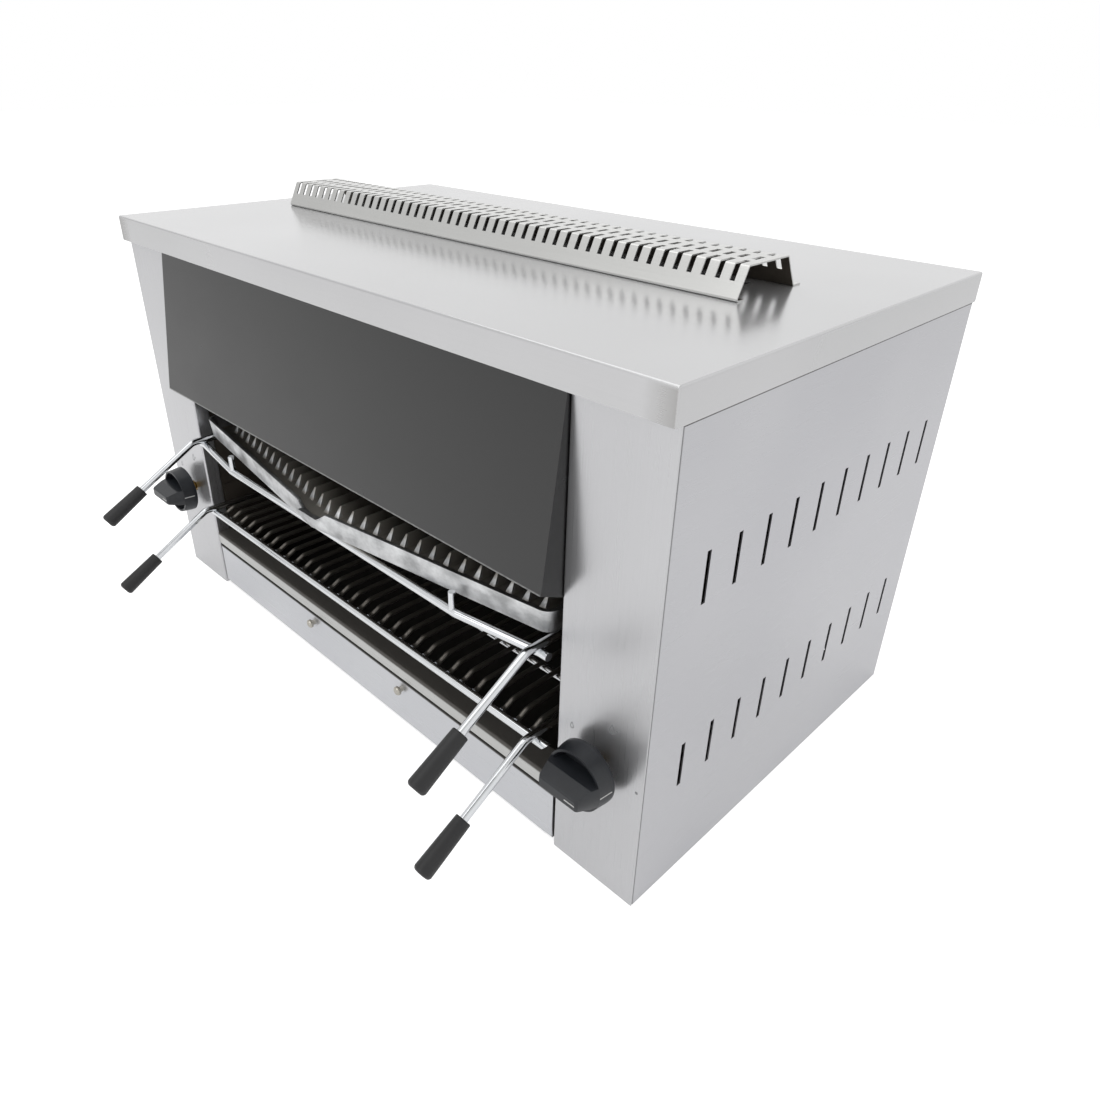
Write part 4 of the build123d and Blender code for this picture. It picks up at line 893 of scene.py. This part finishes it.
knob_black = moulded_black("moulded_black_knob", "#1d1f23", "#272a2f", roughness=(0.3, 0.4))
white_paint = printed_ink("white_paint_line", "#d2d2d0", "#e2e2e0")
dress(knob_black, *both("knob"))
for side, x in (("left", -KNOB_X), ("right", KNOB_X)):
    bm = bmesh.new()
    z0, z1 = KNOB_Z - LINE, KNOB_Z + LINE
    for (out1, y1), (out2, y2), depth in PAINTED:
        face = [(x + out1, y1, z0), (x + out2, y2, z0), (x + out2, y2, z1), (x + out1, y1, z1)]
        rows = [[bm.verts.new(Vector(p) + Vector(depth) * k) for p in face] for k in (0, 1)]
        joined(bm, rows)
        bm.faces.new(rows[0])
        bm.faces.new(rows[1])
    mesh_piece(side + "_knob_lines", bm, side + "_knob", "black_plastic", white_paint)


# ---- Stage -----------------------------------------------------------------------------------
# A plain white floor, an even white room and two large soft lamps. The camera stands at the
# photograph's angle.

GLOSSY_FLOOR = 0.54                 # how far a reflection sees the floor as bright as the camera does
DIM_WAY = (-0.862, -0.402, 0.309)   # the dim corner of the studio, front left

floor_white = bpy.data.materials.new("white_floor")
floor_white.use_nodes = True
tree = floor_white.node_tree
tree.nodes.clear()
path = add(tree, "ShaderNodeLightPath").outputs
direct = add(tree, "ShaderNodeMath", {0: path["Is Camera Ray"], 1: path["Is Transmission Ray"]},
             operation="MAXIMUM")
mirrored = add(tree, "ShaderNodeMath", {0: path["Is Glossy Ray"], 1: GLOSSY_FLOOR}, operation="MULTIPLY")
share = add(tree, "ShaderNodeMath", {0: direct, 1: mirrored}, operation="MAXIMUM")
plain = add(tree, "ShaderNodeBsdfDiffuse", {"Color": colour("#e6e6e6")})
glow = add(tree, "ShaderNodeEmission", {"Strength": 0.75})
lit = add(tree, "ShaderNodeAddShader", {0: plain, 1: glow})
mix = add(tree, "ShaderNodeMixShader", {0: share, 1: plain, 2: lit})
add(tree, "ShaderNodeOutputMaterial", {"Surface": mix})

floor_mesh = bpy.data.meshes.new("floor")
bm = bmesh.new()
bmesh.ops.create_grid(bm, x_segments=2, y_segments=2, size=12.0)
bm.to_mesh(floor_mesh)
bm.free()
floor_mesh.transform(Matrix.Translation((0, 0, -0.0006)))
floor_mesh.materials.append(floor_white)
floor = bpy.data.objects.new("floor", floor_mesh)
bpy.context.scene.collection.objects.link(floor)

world = bpy.data.worlds.new("white_room")
bpy.context.scene.world = world
world.use_nodes = True
room = world.node_tree
room.nodes.clear()
way = add(room, "ShaderNodeTexCoord").outputs["Generated"]
height = add(room, "ShaderNodeSeparateXYZ", {0: way}).outputs["Z"]
ceiling = add(room, "ShaderNodeMapRange", {0: height, 1: 0.55, 2: 0.9, 3: 1.0, 4: 0.6})
facing = add(room, "ShaderNodeVectorMath", {0: way, 1: DIM_WAY}, operation="DOT_PRODUCT")
corner = add(room, "ShaderNodeMapRange", {0: facing, 1: 0.89, 2: 0.99, 3: 1.0, 4: 0.72})
mirrored = add(room, "ShaderNodeMath", {0: ceiling, 1: corner}, operation="MINIMUM")
path = add(room, "ShaderNodeLightPath").outputs
direct = add(room, "ShaderNodeMath", {0: path["Is Camera Ray"], 1: path["Is Transmission Ray"]},
             operation="MAXIMUM")
level = add(room, "ShaderNodeMix", {0: path["Is Glossy Ray"], 2: 0.55, 3: mirrored}, data_type="FLOAT")
level = add(room, "ShaderNodeMath", {0: level, 1: direct}, operation="MAXIMUM")
white = add(room, "ShaderNodeBackground", {"Color": colour("#ffffff"), "Strength": level})
add(room, "ShaderNodeOutputWorld", {"Surface": white})


def soft_lamp(name, place, aim, size, power):
    """A rectangular lamp of a width and a height, turned to its aim."""
    light = bpy.data.lights.new(name, "AREA")
    light.shape = "RECTANGLE"
    light.size, light.size_y = size
    light.energy = power
    lamp = bpy.data.objects.new(name, light)
    lamp.location = place
    lamp.rotation_euler = (Vector(aim) - Vector(place)).to_track_quat("-Z", "Y").to_euler()
    bpy.context.scene.collection.objects.link(lamp)


soft_lamp("overhead_lamp", (-0.4, -0.2, 2.7), (0, 0, 0.2), (3.2, 2.8), 26)
soft_lamp("front_lamp", (-0.5, -3.5, 2.2), (0, 0, 0.25), (2.2, 2.2), 15)

camera_data = bpy.data.cameras.new("camera")
camera_data.sensor_width = 36.0
camera_data.lens = 27.747
camera_data.shift_x = 0.01883
camera_data.shift_y = -0.01647
camera_data.clip_start = 0.02
camera = bpy.data.objects.new("camera", camera_data)
right = Vector((0.70379, 0.71027, 0.01365))
down = Vector((0.35327, -0.33325, -0.87416))
forward = Vector((-0.61634, 0.62005, -0.48545))
turn = Matrix((right, -down, -forward)).transposed()
camera.matrix_world = Matrix.Translation((0.67104, -0.62911, 0.62635)) @ turn.to_4x4()
bpy.context.scene.collection.objects.link(camera)
bpy.context.scene.camera = camera
bpy.context.scene.view_settings.view_transform = "Standard"
